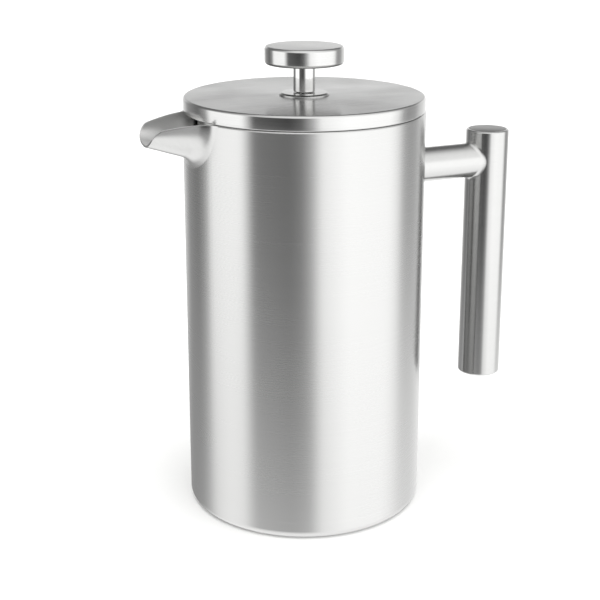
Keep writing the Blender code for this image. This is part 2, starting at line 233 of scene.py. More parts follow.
def linear(hex_colour):
    """An sRGB colour such as "#C8C8C7" as linear RGBA."""
    channels = [int(hex_colour[i : i + 2], 16) / 255 for i in (1, 3, 5)]
    return (*[c / 12.92 if c <= 0.04045 else ((c + 0.055) / 1.055) ** 2.4 for c in channels], 1.0)


def new_material(name, metallic, roughness):
    """A material, its node tree, its shader's inputs and its Object coordinates."""
    material = bpy.data.materials.new(name)
    material.use_nodes = True
    tree = material.node_tree
    shader = tree.nodes["Principled BSDF"].inputs
    shader["Metallic"].default_value = metallic
    shader["Roughness"].default_value = roughness
    return material, tree, shader, add(tree, "ShaderNodeTexCoord")["Object"]


print("middle grey in linear light:", round(linear("#808080")[0], 3))

# %% [markdown]
# ## Brushed steel
#
# Stainless steel sheet is grey, nearly neutral, and fully metallic. What tells one finish from another
# is the grain. A spun wall is brushed while it turns, so its grain runs round the axis: each groove is
# a streak a few centimetres long and a tenth of a millimetre wide. The grooves spread light across
# themselves and hardly at all along themselves, so a softbox shows as a band that is crisp from side
# to side and smeared up and down. That is the shader's anisotropy, with its tangent round the axis.
# The streaks themselves are noise, squeezed across the grain and stretched along it.

# %% Grain
# Grooves of the real width are too fine to show, so they are drawn four times as wide.
GRAIN_WIDTH = 0.40 * MM
STREAK_LENGTH = 45 * MM
SMUDGE_SIZE = 38 * MM


def round_grain(tree, place, width, length):
    """A noise vector whose streaks run round the upright axis, on walls and on flat faces alike."""
    xyz = add(tree, SPLIT, {0: place})
    flat = add(tree, COMBINE, {"X": xyz["X"], "Y": xyz["Y"]})[0]
    radius = add(tree, VECTOR_MATH, {0: flat}, operation="LENGTH")["Value"]
    across = add(tree, MATH, {0: xyz["Z"], 1: radius}, operation="SUBTRACT")[0]
    across = add(tree, MATH, {0: across, 1: 1 / width}, operation="MULTIPLY")[0]
    along = add(tree, VECTOR_MATH, {0: flat, "Scale": 1 / length}, operation="SCALE")[0]
    along = add(tree, SPLIT, {0: along})
    return add(tree, COMBINE, {"X": along["X"], "Y": along["Y"], "Z": across})[0]


def straight_grain(tree, place, width, length):
    """A noise vector whose streaks run straight along X, as on sheet that was brushed flat."""
    stretch = Vector((1 / length, 1 / width, 1 / width))
    return add(tree, VECTOR_MATH, {0: place, 1: stretch}, operation="MULTIPLY")[0]


print(f"streaks {1000 * STREAK_LENGTH:.0f} mm long and {1000 * GRAIN_WIDTH:.1f} mm wide")

# %% [markdown]
# ### A finish as a function
#
# The finishes differ only in a few numbers: how light the streaks are, how rough, how strongly the
# grain smears the light, and which way it runs. So one function makes them all. Roughness follows the
# streaks and some larger, softer smudges, which keeps a big plain wall from looking like plastic.

# %% The steel function
BOTH_NOISES = {"From Min": 0.6, "From Max": 1.4}
BUMP_STRENGTH = 0.6
QUARTER_TURN = 0.25


def steel(name, dark, light, roughness, anisotropy=0.0, bump=0.0, width=GRAIN_WIDTH,
          length=STREAK_LENGTH, straight=False, centre_x=0.0, spread=0.06, metallic=1.0):
    """A steel finish. dark and light are the greys of its streaks, and roughness varies by spread."""
    material, tree, shader, place = new_material(name, metallic, roughness)
    if centre_x:
        place = add(tree, "ShaderNodeMapping", {"Vector": place, "Location": (-centre_x, 0, 0)})[0]
    grain = (straight_grain if straight else round_grain)(tree, place, width, length)
    streaks = add(tree, NOISE, {"Vector": grain, "Scale": 1.0, "Detail": 3.0, "Roughness": 0.65})["Fac"]
    smudges = add(tree, NOISE, {"Vector": place, "Scale": 1 / SMUDGE_SIZE, "Detail": 2.0})["Fac"]
    tint = add(tree, MIX, {0: streaks, MIX_A: linear(dark), MIX_B: linear(light)}, data_type="RGBA")
    tree.links.new(tint[MIX_RESULT], shader["Base Color"])
    both = add(tree, MATH, {0: streaks, 1: smudges}, operation="ADD")[0]
    ends = {"To Min": roughness - spread / 2, "To Max": roughness + spread / 2}
    rough = add(tree, "ShaderNodeMapRange", {"Value": both, **BOTH_NOISES, **ends})[0]
    tree.links.new(rough, shader["Roughness"])
    if anisotropy:
        shader["Anisotropic"].default_value = anisotropy
        shader["Anisotropic Rotation"].default_value = QUARTER_TURN
        if straight:
            tangent = add(tree, COMBINE, {"X": 1.0})[0]
        else:
            up = Vector((0.0, 0.0, 1.0))
            tangent = add(tree, VECTOR_MATH, {0: up, 1: place}, operation="CROSS_PRODUCT")[0]
        tree.links.new(tangent, shader["Tangent"])
    if bump:
        relief = {"Height": streaks, "Strength": BUMP_STRENGTH, "Distance": bump}
        tree.links.new(add(tree, "ShaderNodeBump", relief)[0], shader["Normal"])
    return material


# Spun stainless wall, brushed while it turned: crisp bands from side to side, smeared up and down. Its
# streaks are long, so they look straight, and faint.
brushed_wall = steel(
    "brushed_spun_steel", "#D4D4D3", "#D9D9D8", 0.27, 0.8, 0.0002 * MM, length=120 * MM, spread=0.02
)
# The sides of lid and knob are brushed finer than the wall, and show the bands with more contrast.
brushed_side = steel("fine_brushed_spun_steel", "#CFCFCE", "#DEDEDD", 0.16, 0.5, 0.0008 * MM)
# The grip tube is drawn and brushed round. It is smaller, so its bands are narrower.
brushed_tube = steel(
    "brushed_tube_steel", "#CACAC9", "#D8D8D7", 0.20, 0.6, 0.001 * MM, centre_x=BAR_X, length=12 * MM
)
print("finishes with a round grain:", brushed_wall.name, brushed_side.name, brushed_tube.name)

# %% [markdown]
# ### The other finishes
#
# Sheet that was brushed flat keeps a straight grain. Welds are ground by hand, drawn sheet is left as
# it came from the die, turned parts keep the rings of the tool, and what the hand or the rod slides on
# is polished. Each is the same function with other numbers.

# %% Straight, ground, drawn and polished steel
straight = {"straight": True, "spread": 0.14}
# The tops of lid and knob keep the straight grain of the sheet that they were pressed from. The lid's
# is a shade darker than the knob's.
lid_sheet = steel(
    "straight_brushed_lid_steel", "#B6B6B5", "#D0D0CF", 0.22, 0.7, 0.002 * MM, **straight
)
knob_sheet = steel(
    "straight_brushed_knob_steel", "#C6C6C5", "#DCDCDB", 0.22, 0.7, 0.002 * MM, **straight
)
# The flat discs that close the grip tube are ground, which leaves a dull grey.
ground_disc = steel("ground_disc_steel", "#A2A2A1", "#B0B0AF", 0.36, 0.0, 0.002 * MM, centre_x=BAR_X)
# Welds are ground and polished by hand, which leaves a satin with no direction that shows.
satin_weld = steel(
    "satin_ground_steel", "#CECECD", "#DADAD9", 0.25, width=0.5 * MM, length=4 * MM, spread=0.04
)
# The lid's underside is drawn and left bright, with faint rings from the tool.
drawn_liner = steel("bright_drawn_steel", "#CACAC9", "#D6D6D5", 0.15, 0.0, 0.001 * MM, spread=0.05)
# Inside pot and spout the drawn steel is satin. It is a little less than fully metallic, which isn't
# physics: with few bounces of light inside a deep pot, a pure metal would show black there.
satin_liner = steel(
    "satin_drawn_steel", "#D2D2D1", "#E0E0DF", 0.32, 0.0, 0.002 * MM, spread=0.05, metallic=0.7
)
# The knob's neck and the rod are polished on a wheel: almost a mirror.
polished = steel("polished_steel", "#E2E2E1", "#ECECEB", 0.10, 0.0, 0.0015 * MM, spread=0.03)
# Small turned parts keep the fine rings of the lathe tool.
lathe_cut = steel(
    "lathe_cut_steel", "#C2C2C1", "#D0D0CF", 0.22, 0.0, 0.006 * MM, width=0.3 * MM, length=20 * MM
)
# Spring wire and screen wire are drawn: bright, but a shade darker than sheet.
drawn_wire = steel("drawn_wire_steel", "#BEBEBD", "#CECECD", 0.26, width=1 * MM, length=3 * MM)
print("steel finishes:", len([m for m in bpy.data.materials if "steel" in m.name]))

# %% [markdown]
# ## The plain bush
#
# The rod runs in a small PTFE bush, milky white and waxy: a plastic with a soft, broad gloss. It is not
# a metal, so it gets its own short material with a faint cloudiness.

# %% PTFE
CLOUD_SIZE = 2 * MM
ptfe, tree, shader, place = new_material("moulded_ptfe", 0.0, 0.42)
cloud = add(tree, NOISE, {"Vector": place, "Scale": 1 / CLOUD_SIZE, "Detail": 3.0})["Fac"]
whites = {MIX_A: linear("#DEDEDA"), MIX_B: linear("#ECECE8")}
tint = add(tree, MIX, {0: cloud, **whites}, data_type="RGBA")
tree.links.new(tint[MIX_RESULT], shader["Base Color"])
shader["IOR"].default_value = 1.35
print("PTFE bends light by", round(shader["IOR"].default_value, 2))

# %% [markdown]
# ## The vessel's two walls
#
# The outer wall is spun, folded over at the rim and turned in under the base. The liner is a deep-drawn
# cup whose flange meets the outer wall's fold just inside the rim. Both are turned outlines, and both
# are notched below where the spout passes through.

# %% Outer wall and liner
RIM_FOLD = 0.9 * MM
BASE_EDGE = 3.6 * MM
FLANGE_JOINT = 2.4 * MM
BASE_PLATE_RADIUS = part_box("base_plate")[1].y

wall_corners = [
    (BODY_RADIUS - FLANGE_JOINT, RIM_Z, 0),
    (BODY_RADIUS, RIM_Z, RIM_FOLD),
    (BODY_RADIUS, 0.0, BASE_EDGE),
    (BASE_PLATE_RADIUS + 0.3 * MM, 0.0, 0),
]
vessel_wall = turned("vessel_wall", wall_corners, [brushed_wall], segments=256, sheet=-SHEET)
liner_corners = [
    (BODY_RADIUS - FLANGE_JOINT - 0.1 * MM, RIM_Z, 0),
    (LINER_RADIUS, RIM_Z, 1.2 * MM),
    (LINER_RADIUS, LINER_FLOOR_Z, 6 * MM),
    (0.0, LINER_FLOOR_Z, 0),
]
vessel_liner = turned("vessel_liner", liner_corners, [satin_liner], segments=192, sheet=SHEET)

# %% [markdown]
# ## The spout
#
# The spout is an open gutter: a U of sheet that narrows to a rounded lip. It is welded to the wall and
# the weld is ground to a soft hollow, so no edge shows where it leaves the body. That hollow is what
# sells the shape. Each line along the gutter is followed back to where it meets the wall, and the last
# few millimetres are replaced by a curve that leaves the wall flat on it and joins the gutter in line.

# %% The gutter's lines
SPOUT_ROOT_HALF_WIDTH = 16.7 * MM
SPOUT_LIP_HALF_WIDTH = 9.7 * MM
SPOUT_ROOT_KEEL = 163.7 * MM
SPOUT_LIP_KEEL = 170.4 * MM
SPOUT_LIP_DROP = 3.2 * MM
SPOUT_NOSE = 4.7 * MM
SPOUT_EDGE_Z = RIM_Z - 0.25 * MM
UNDER_SURFACE = 0.03 * MM


def gutter_point(x, turn, inset=0.0):
    """A point of the gutter at x, turn radians round from the keel. inset is inwards from outside."""
    s = (-BODY_RADIUS - x) / (-BODY_RADIUS - LIP_X)
    half_width = SPOUT_ROOT_HALF_WIDTH + (SPOUT_LIP_HALF_WIDTH - SPOUT_ROOT_HALF_WIDTH) * s - inset
    keel = SPOUT_ROOT_KEEL + (SPOUT_LIP_KEEL - SPOUT_ROOT_KEEL) * s + inset
    edge = SPOUT_EDGE_Z - SPOUT_LIP_DROP * max(0.0, s) ** 1.5
    return Vector((x, half_width * math.sin(turn), edge - (edge - keel) * math.cos(turn)))


def gutter_reach(x):
    """How far round from the keel the gutter reaches at x: a quarter turn, and less at the nose."""
    into = min(1.0, max(0.0, (LIP_X + SPOUT_NOSE - x) / SPOUT_NOSE))
    return math.acos(1.0 - math.sqrt(1.0 - into**2))


def wall_crossing(turn):
    """The x at which the gutter's line at this turn meets the body's wall, found by halving."""
    near, far = -0.5 * BODY_RADIUS, -1.1 * BODY_RADIUS
    for _ in range(40):
        middle = (near + far) / 2
        point = gutter_point(middle, turn)
        if math.hypot(point.x, point.y) < BODY_RADIUS:
            near = middle
        else:
            far = middle
    return middle


def on_wall(point, away, distance):
    """The point of the body's wall that lies distance from point in the direction away (y, z)."""
    angle = math.atan2(point.y, -point.x) + distance * away[0] / BODY_RADIUS
    radius = BODY_RADIUS - UNDER_SURFACE
    return Vector((-radius * math.cos(angle), radius * math.sin(angle), point.z + distance * away[1]))


def bezier(a, b, c, t):
    return a * (1 - t) ** 2 + b * 2 * t * (1 - t) + c * t**2


print("the keel leaves the wall at x =", round(1000 * wall_crossing(0.0), 1), "mm")

# %% [markdown]
# The rows run from the wall to the lip: first the curve of the weld, then a straight stretch, then the
# nose, whose rows reach less and less far round so that the lip ends in a half circle. The inside has
# the same rows, one wall's thickness in, and starts at the liner.

# %% The gutter's rows
SPOUT_WALL = 0.9 * MM
SPOUT_BLEND = 4.6 * MM
ROUND_STEPS = 48
BLEND_STEPS = 12
STRAIGHT_STEPS = 5
NOSE_STEPS = 14
NOSE_PART = 0.9

turns = [math.pi / 2 * (2 * i / ROUND_STEPS - 1) for i in range(ROUND_STEPS + 1)]
outer_rows, inner_rows = [], []
for step in range(BLEND_STEPS + 1):
    t = step / BLEND_STEPS
    outer_row, inner_row = [], []
    for turn in turns:
        crossing = wall_crossing(turn)
        away = (math.sin(turn), -math.cos(turn))
        corner = gutter_point(crossing, turn)
        joins = gutter_point(crossing - SPOUT_BLEND, turn)
        outer_row.append(bezier(on_wall(corner, away, SPOUT_BLEND), corner, joins, t))
        inner_x = -math.sqrt((LINER_RADIUS + 0.1 * MM) ** 2 - corner.y**2)
        inner_row.append(gutter_point(inner_x + (joins.x - inner_x) * t, turn, SPOUT_WALL))
    outer_rows.append(outer_row)
    inner_rows.append(inner_row)
nose_x = LIP_X + SPOUT_NOSE
for step in range(1, STRAIGHT_STEPS + NOSE_STEPS + 1):
    outer_row, inner_row = [], []
    for turn in turns:
        start_x = wall_crossing(turn) - SPOUT_BLEND
        if step <= STRAIGHT_STEPS:
            x = start_x + (nose_x - start_x) * step / STRAIGHT_STEPS
        else:
            into = NOSE_PART * (step - STRAIGHT_STEPS) / NOSE_STEPS
            x = nose_x - SPOUT_NOSE * math.sin(math.pi / 2 * into)
        reached = turn * gutter_reach(x) / (math.pi / 2)
        outer_row.append(gutter_point(x, reached))
        inner_row.append(gutter_point(x, reached, SPOUT_WALL))
    outer_rows.append(outer_row)
    inner_rows.append(inner_row)
print("rows from wall to lip:", len(outer_rows))

# %% [markdown]
# The two skins are closed along the gutter's edges and at both ends, and a small bevel softens the
# edges, as a weld shop leaves no edge that could cut. The inside takes the satin of drawn steel.

# %% The gutter's mesh
INSIDE_SLOPE = 0.1
bm = bmesh.new()
outer = [[bm.verts.new(p) for p in row] for row in outer_rows]
inner = [[bm.verts.new(p) for p in row] for row in inner_rows]
skin(bm, outer)
skin(bm, inner)
skin(bm, [outer[0], inner[0]])
skin(bm, [outer[-1], inner[-1]])
for side in (0, -1):
    skin(bm, [[row[side] for row in outer], [row[side] for row in inner]])
spout = finish_mesh(
    "spout_gutter",
    bm,
    [satin_weld, satin_liner],
    slot_of=lambda at, normal: int(normal.z - normal.y * math.copysign(1, at.y) > INSIDE_SLOPE),
)
soften = spout.modifiers.new("soft_edges", "BEVEL")
soften.width = 0.25 * MM
soften.segments = 2
soften.limit_method = "ANGLE"
soften.angle_limit = math.radians(50)
settle(spout)
print("with its edges softened:", len(spout.data.polygons), "faces")

# %% [markdown]
# ## Notching the walls for the spout
#
# Both walls are cut by a block with the gutter's own outline, a little larger, so the sheet passes
# through with a hairline of room. The cut is hidden under the ground weld.

# %% Notches
NOTCH_ROOM = 0.15 * MM
NOTCH_OVER = 8 * MM
bm = bmesh.new()
notch_rows = []
for x in (-BODY_RADIUS - 3 * MM, -LINER_RADIUS + 8 * MM):
    row = [bm.verts.new((x, -gutter_point(x, math.pi / 2).y - NOTCH_ROOM, RIM_Z + NOTCH_OVER))]
    row += [bm.verts.new(gutter_point(x, turn, -NOTCH_ROOM)) for turn in turns]
    row.append(bm.verts.new((x, gutter_point(x, math.pi / 2).y + NOTCH_ROOM, RIM_Z + NOTCH_OVER)))
    notch_rows.append(row)
skin(bm, notch_rows, closed=True)
bm.faces.new(notch_rows[0])
bm.faces.new(notch_rows[1])
notch = finish_mesh("notch", bm, [])
for piece in (vessel_wall, vessel_liner):
    cut = piece.modifiers.new("notch", "BOOLEAN")
    cut.object = notch
    cut.operation = "DIFFERENCE"
    cut.solver = "EXACT"
    settle(piece)
    print(piece.name, "has", len(piece.data.polygons), "faces with its notch")
bpy.data.objects.remove(notch)

# %% [markdown]
# ## The base
#
# The base plate is a disc set into the turned-in edge of the outer wall. Its middle is pressed in by a
# quarter of a millimetre, so that the press stands on a ring and doesn't rock.

# %% Base plate
BASE_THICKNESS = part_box("base_plate")[1].z
RECESS = 0.25 * MM
base_corners = [
    (0.0, RECESS, 0),
    (30 * MM, RECESS, 0.3 * MM),
    (31 * MM, 0.0, 0.3 * MM),
    (BASE_PLATE_RADIUS, 0.0, 0.2 * MM),
    (BASE_PLATE_RADIUS, BASE_THICKNESS, 0),
    (0.0, BASE_THICKNESS, 0),
]
base = turned("base_disc", base_corners, [brushed_side], segments=160, steps=4)

# %% [markdown]
# ## The handle's arm
#
# A short level tube is welded to the wall and to an upright grip tube. At both ends the weld is ground
# to a small hollow, made like the spout's: each line along the arm is led back onto the round wall it
# meets. The ends go a little way into the steel, so that no slit can show.

# %% Handle arm
ARM_BLEND = 1.8 * MM
ARM_SEGMENTS = 96
ARM_TAIL = Vector((0.3 * MM, 0, 0))


def on_cylinder(radius, y, z, shift=0.0, height=0.0):
    """(distance along X, y, z) on a round wall, shift along it and height up from (y, z)."""
    angle = math.asin(y / radius) + shift / radius
    return Vector((radius * math.cos(angle), radius * math.sin(angle), z + height))


arm_lines = []
for i in range(ARM_SEGMENTS):
    a = 2 * math.pi * i / ARM_SEGMENTS
    y, z = ARM_RADIUS * math.cos(a), ARM_Z + ARM_RADIUS * math.sin(a)
    spread_out = (ARM_BLEND * math.cos(a), ARM_BLEND * math.sin(a))
    start = on_cylinder(BODY_RADIUS, y, z)
    foot = on_cylinder(BODY_RADIUS - UNDER_SURFACE, y, z, *spread_out)
    leave = start + Vector((ARM_BLEND, 0, 0))
    end = on_cylinder(BAR_RADIUS, y, z)
    toe = on_cylinder(BAR_RADIUS - UNDER_SURFACE, y, z, *spread_out)
    end.x, toe.x = BAR_X - end.x, BAR_X - toe.x
    arrive = end - Vector((ARM_BLEND, 0, 0))
    line = [foot - ARM_TAIL]
    line += [bezier(foot, start, leave, t / BLEND_STEPS) for t in range(BLEND_STEPS + 1)]
    line += [bezier(arrive, end, toe, t / BLEND_STEPS) for t in range(BLEND_STEPS + 1)]
    arm_lines.append(line + [toe + ARM_TAIL])
bm = bmesh.new()
arm_rows = [[bm.verts.new(point) for point in row] for row in zip(*arm_lines)]
skin(bm, arm_rows, closed=True)
for row in (arm_rows[0], arm_rows[-1]):
    middle = bm.verts.new(sum((v.co for v in row), Vector()) / len(row))
    for a, b in zip(row, row[1:] + row[:1]):
        bm.faces.new((a, b, middle))
arm = finish_mesh("handle_arm_tube", bm, [satin_weld])

# %% [markdown]
# ## The grip
#
# The grip is a tube, rounded at both ends, with a flat disc set in each. The hairline round each disc
# is real room between two meshes, so it shows as a fine dark ring.

# %% Grip tube and its end discs
TUBE_WALL = 1.2 * MM
DISC_GAP = 0.04 * MM
DISC_THICKNESS = 1.6 * MM
DISC_EDGE = 0.08 * MM
grip_corners = [
    (BAR_RADIUS - TUBE_WALL, BAR_TOP_Z, 0),
    (BAR_RADIUS, BAR_TOP_Z, 0.8 * MM),
    (BAR_RADIUS, BAR_BOTTOM_Z, 1.1 * MM),
    (BAR_RADIUS - TUBE_WALL, BAR_BOTTOM_Z, 0),
]
grip = turned("grip_tube", grip_corners, [brushed_tube], segments=96, x=BAR_X)
disc_radius = BAR_RADIUS - TUBE_WALL - DISC_GAP
end_discs = []
for name, high in (("grip_top_disc", BAR_TOP_Z), ("grip_bottom_disc", BAR_BOTTOM_Z + DISC_THICKNESS)):
    low = high - DISC_THICKNESS
    corners = [(0.0, high, 0), (disc_radius, high, DISC_EDGE)]
    corners += [(disc_radius, low, DISC_EDGE), (0.0, low, 0)]
    end_discs.append(turned(name, corners, [ground_disc], segments=96, x=BAR_X, steps=3))

# %% [markdown]
# ## The lid
#
# The lid is a pressed cap over a shallow pan. The cap's edge is rounded, and its side drops straight to
# a hair above the rim, which leaves a fine dark gap. Its top keeps the straight grain of sheet, and its
# side is brushed round, so the cap has two materials.

# %% Lid cap and pan
LID_EDGE = 1.2 * MM
LID_ROLL = 0.55 * MM
LID_GAP = 0.08 * MM
LID_SHEET = 0.5 * MM
TOP_FACE = 0.8
STEM_RADIUS = 5.0 * MM
STEM_HOLE = STEM_RADIUS + 0.3 * MM
PAN_LOW_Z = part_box("lid_pan")[0].z
PAN_TOP_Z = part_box("lid_pan")[1].z - SHEET
PAN_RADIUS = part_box("lid_pan")[1].y
SKIRT_RADIUS = 47.3 * MM
CAP_LOW_Z = RIM_Z + LID_GAP


def top_or_side(at, normal):
    """Slot 0 for faces that look up, and slot 1 for the rest."""
    return 0 if normal.z > TOP_FACE else 1


cap_corners = [
    (STEM_HOLE, LID_TOP_Z, 0),
    (LID_RADIUS, LID_TOP_Z, LID_EDGE),
    (LID_RADIUS, CAP_LOW_Z, LID_ROLL),
    (LID_RADIUS - 1.3 * MM, CAP_LOW_Z, 0),
]
lid_cap = turned(
    "lid_cover", cap_corners, [lid_sheet, brushed_side], segments=256, sheet=-LID_SHEET,
    slot_of=top_or_side,
)
pan_corners = [
    (PAN_RADIUS - 1.0 * MM, PAN_TOP_Z, 0),
    (SKIRT_RADIUS, PAN_TOP_Z, 0.5 * MM),
    (SKIRT_RADIUS, PAN_LOW_Z, 2.5 * MM),
    (30 * MM, PAN_LOW_Z, 1.0 * MM),
    (28 * MM, PAN_LOW_Z + 1.2 * MM, 1.0 * MM),
    (13 * MM, PAN_LOW_Z + 1.2 * MM, 0.8 * MM),
    (11.5 * MM, PAN_LOW_Z, 0.8 * MM),
    (STEM_HOLE, PAN_LOW_Z, 0),
]
lid_pan = turned("lid_underpan", pan_corners, [drawn_liner], segments=160, sheet=-SHEET)

# %% [markdown]
# ## The guide
#
# A flanged collar sits in the middle of the lid. Its stem passes through cap and pan. The rod runs in a
# plain bush inside it.

# %% Collar and bush
COLLAR_LOW, COLLAR_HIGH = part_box("guide_collar")
COLLAR_RADIUS = COLLAR_HIGH.x
COLLAR_SEAT_Z = LID_TOP_Z + 0.02 * MM
BUSH_LOW, BUSH_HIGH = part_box("guide_bush")
BUSH_RADIUS = BUSH_HIGH.x
COLLAR_BORE = BUSH_RADIUS + 0.3 * MM
ROD_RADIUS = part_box("plunger_rod")[1].x
BUSH_BORE = ROD_RADIUS + 0.25 * MM

collar_corners = [
    (COLLAR_BORE, COLLAR_HIGH.z, 0),
    (COLLAR_RADIUS - 0.9 * MM, COLLAR_HIGH.z, 0.4 * MM),
    (COLLAR_RADIUS, COLLAR_HIGH.z - 0.6 * MM, 0.2 * MM),
    (COLLAR_RADIUS, COLLAR_SEAT_Z, 0),
    (STEM_RADIUS, COLLAR_SEAT_Z, 0),
    (STEM_RADIUS, COLLAR_LOW.z, 0.3 * MM),
    (COLLAR_BORE, COLLAR_LOW.z, 0),
]
collar = turned("rod_guide_collar", collar_corners, [lathe_cut])
bush_corners = [
    (BUSH_BORE, BUSH_HIGH.z, 0),
    (BUSH_RADIUS, BUSH_HIGH.z, 0.2 * MM),
    (BUSH_RADIUS, BUSH_LOW.z, 0.2 * MM),
    (BUSH_BORE, BUSH_LOW.z, 0),
]
bush = turned("rod_guide_bush", bush_corners, [ptfe], segments=64)

# %% [markdown]
# ## Nuts
#
# Three pieces are hexagonal: the nut that clamps the guide, the one that stops the filter, and the boss
# in the knob. A nut's corners are chamfered by a shallow cone above and below. Round each ring the
# radius follows the six flats, but is never more than the cone allows at that height.

# %% Hexagon nuts
NUT_STEPS = 48
COUNTERSINK = 0.4 * MM
CONE_PART = 0.6


def hexagon_nut(name, node, bore):
    """A chamfered hexagon nut in a node's box, with its bore countersunk at both ends."""
    low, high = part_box(node)
    flats = min(high.x, high.y)
    corner = flats / math.cos(math.pi / 6)
    cone = CONE_PART * (corner - flats)
    hexagon = []
    for i in range(NUT_STEPS):
        within = (2 * math.pi * i / NUT_STEPS + math.pi / 6) % (math.pi / 3) - math.pi / 6
        hexagon.append(flats / math.cos(within))
    bm = bmesh.new()
    rows = []
    for z, most in ((low.z, flats), (low.z + cone, corner), (high.z - cone, corner), (high.z, flats)):
        rows.append(ring(bm, z, [min(reach, most) for reach in hexagon]))
    wide = bore + COUNTERSINK
    for z, inside in ((high.z, wide), (high.z - COUNTERSINK, bore),
                      (low.z + COUNTERSINK, bore), (low.z, wide)):
        rows.append(ring(bm, z, [inside] * NUT_STEPS))
    skin(bm, rows, closed=True, loop=True)
    return finish_mesh(name, bm, [lathe_cut])


guide_nut = hexagon_nut("rod_guide_nut", "guide_nut", STEM_RADIUS + 0.1 * MM)
boss = hexagon_nut("knob_boss", "knob_insert", ROD_RADIUS + 0.1 * MM)
stop_nut = hexagon_nut("filter_stop_nut", "stop_nut", ROD_RADIUS + 0.05 * MM)

# %% [markdown]
# ## The knob
#
# The knob is a thick disc: a drawn cap with soft edges above and below, closed by a plate. The boss
# inside holds the rod. It stands on a polished neck that rests on the collar.

# %% Knob
KNOB_LOW, KNOB_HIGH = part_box("knob_cap")
KNOB_RADIUS = KNOB_HIGH.x
KNOB_EDGE = 1.4 * MM
NECK_LOW, NECK_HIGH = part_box("knob_neck")
NECK_RADIUS = NECK_HIGH.x
PLATE_BORE = NECK_RADIUS + 0.1 * MM
NECK_BORE = ROD_RADIUS + 0.2 * MM

knob_corners = [
    (0.0, KNOB_HIGH.z, 0),
    (KNOB_RADIUS, KNOB_HIGH.z, KNOB_EDGE),
    (KNOB_RADIUS, KNOB_LOW.z, KNOB_EDGE),
    (KNOB_RADIUS - 2.1 * MM, KNOB_LOW.z, 0),
]
knob = turned(
    "knob_cover", knob_corners, [knob_sheet, brushed_side], segments=160, sheet=-SHEET,
    slot_of=top_or_side,
)
plate_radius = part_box("knob_base")[1].x
plate_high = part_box("knob_base")[1].z
knob_plate_corners = [
    (PLATE_BORE, plate_high, 0),
    (plate_radius, plate_high, 0.1 * MM),
    (plate_radius, KNOB_LOW.z, 0.15 * MM),
    (PLATE_BORE, KNOB_LOW.z, 0),
]
knob_plate = turned("knob_plate", knob_plate_corners, [brushed_side])
neck_corners = [
    (NECK_BORE, NECK_HIGH.z, 0),
    (NECK_RADIUS, NECK_HIGH.z, 0.2 * MM),
    (NECK_RADIUS, NECK_LOW.z, 0.35 * MM),
    (NECK_BORE, NECK_LOW.z, 0),
]
neck = turned("knob_stem", neck_corners, [polished], segments=96)

# %% [markdown]
# ## Geometry trees for what repeats
#
# The filter is where a press repeats itself: nearly two hundred turns of spring, thousands of places
# where wires cross, rings of holes and a screw thread. Each is a small tree of geometry nodes with its
# sizes as named inputs, so the same tree can be tried at another pitch. A tree ends by realising its
# instances and setting its material, and its result is kept as a plain mesh.

# %% Helpers for geometry trees
KINDS = {"float": "NodeSocketFloat", "int": "NodeSocketInt", "material": "NodeSocketMaterial"}
CIRCLE = "GeometryNodeCurvePrimitiveCircle"


def new_tree(name, **inputs):
    """A geometry tree with named inputs, and its input sockets by name."""
    tree = bpy.data.node_groups.new(name, "GeometryNodeTree")
    tree.interface.new_socket("Geometry", in_out="OUTPUT", socket_type="NodeSocketGeometry")
    for label, kind in inputs.items():
        tree.interface.new_socket(label, in_out="INPUT", socket_type=KINDS[kind])
    return tree, add(tree, "NodeGroupInput")


def wire_along(tree, line, sides, radius, caps=False):
    """A thin wire along a line, with as few sides as will do."""
    section = add(tree, CIRCLE, {"Resolution": sides, "Radius": radius})[0]
    inputs = {"Curve": line, "Profile Curve": section, "Fill Caps": caps}
    return add(tree, "GeometryNodeCurveToMesh", inputs)[0]


def lifted(tree, geometry, height):
    """Geometry moved up by a height."""
    up = add(tree, COMBINE, {"Z": height})[0]
    return add(tree, "GeometryNodeTransform", {"Geometry": geometry, "Translation": up})[0]


def close_tree(tree, geometry, material):
    real = add(tree, "GeometryNodeRealizeInstances", {"Geometry": geometry})[0]
    painted = add(tree, "GeometryNodeSetMaterial", {"Geometry": real, "Material": material})[0]
    add(tree, "NodeGroupOutput", {"Geometry": painted})


def grow(name, tree, **values):
    """The plain mesh object that a tree makes with these values."""
    obj = bpy.data.objects.new(name, bpy.data.meshes.new(name))
    bpy.context.scene.collection.objects.link(obj)
    modifier = obj.modifiers.new("nodes", "NODES")
    modifier.node_group = tree
    for item in tree.interface.items_tree:
        if item.in_out == "INPUT":
            modifier[item.identifier] = values[item.name]
    settle(obj)
    # The tree leaves an empty slot before its own material, so the mesh is given just the one.
    obj.data.materials.clear()
    obj.data.materials.append(values["material"])
    obj.data.polygons.foreach_set("material_index", [0] * len(obj.data.polygons))
    print(name, "has", len(obj.data.polygons), "faces")
    return obj


print("kinds of input:", sorted(KINDS))

# %% [markdown]
# ### The coil spring
#
# The spring that seals the filter's edge is a thin wire wound into a coil and bent into a ring. Its
# line is a circle whose points are moved onto a coil by their own number: one turn round the ring is
# many turns round the coil. The wire is swept along that line.

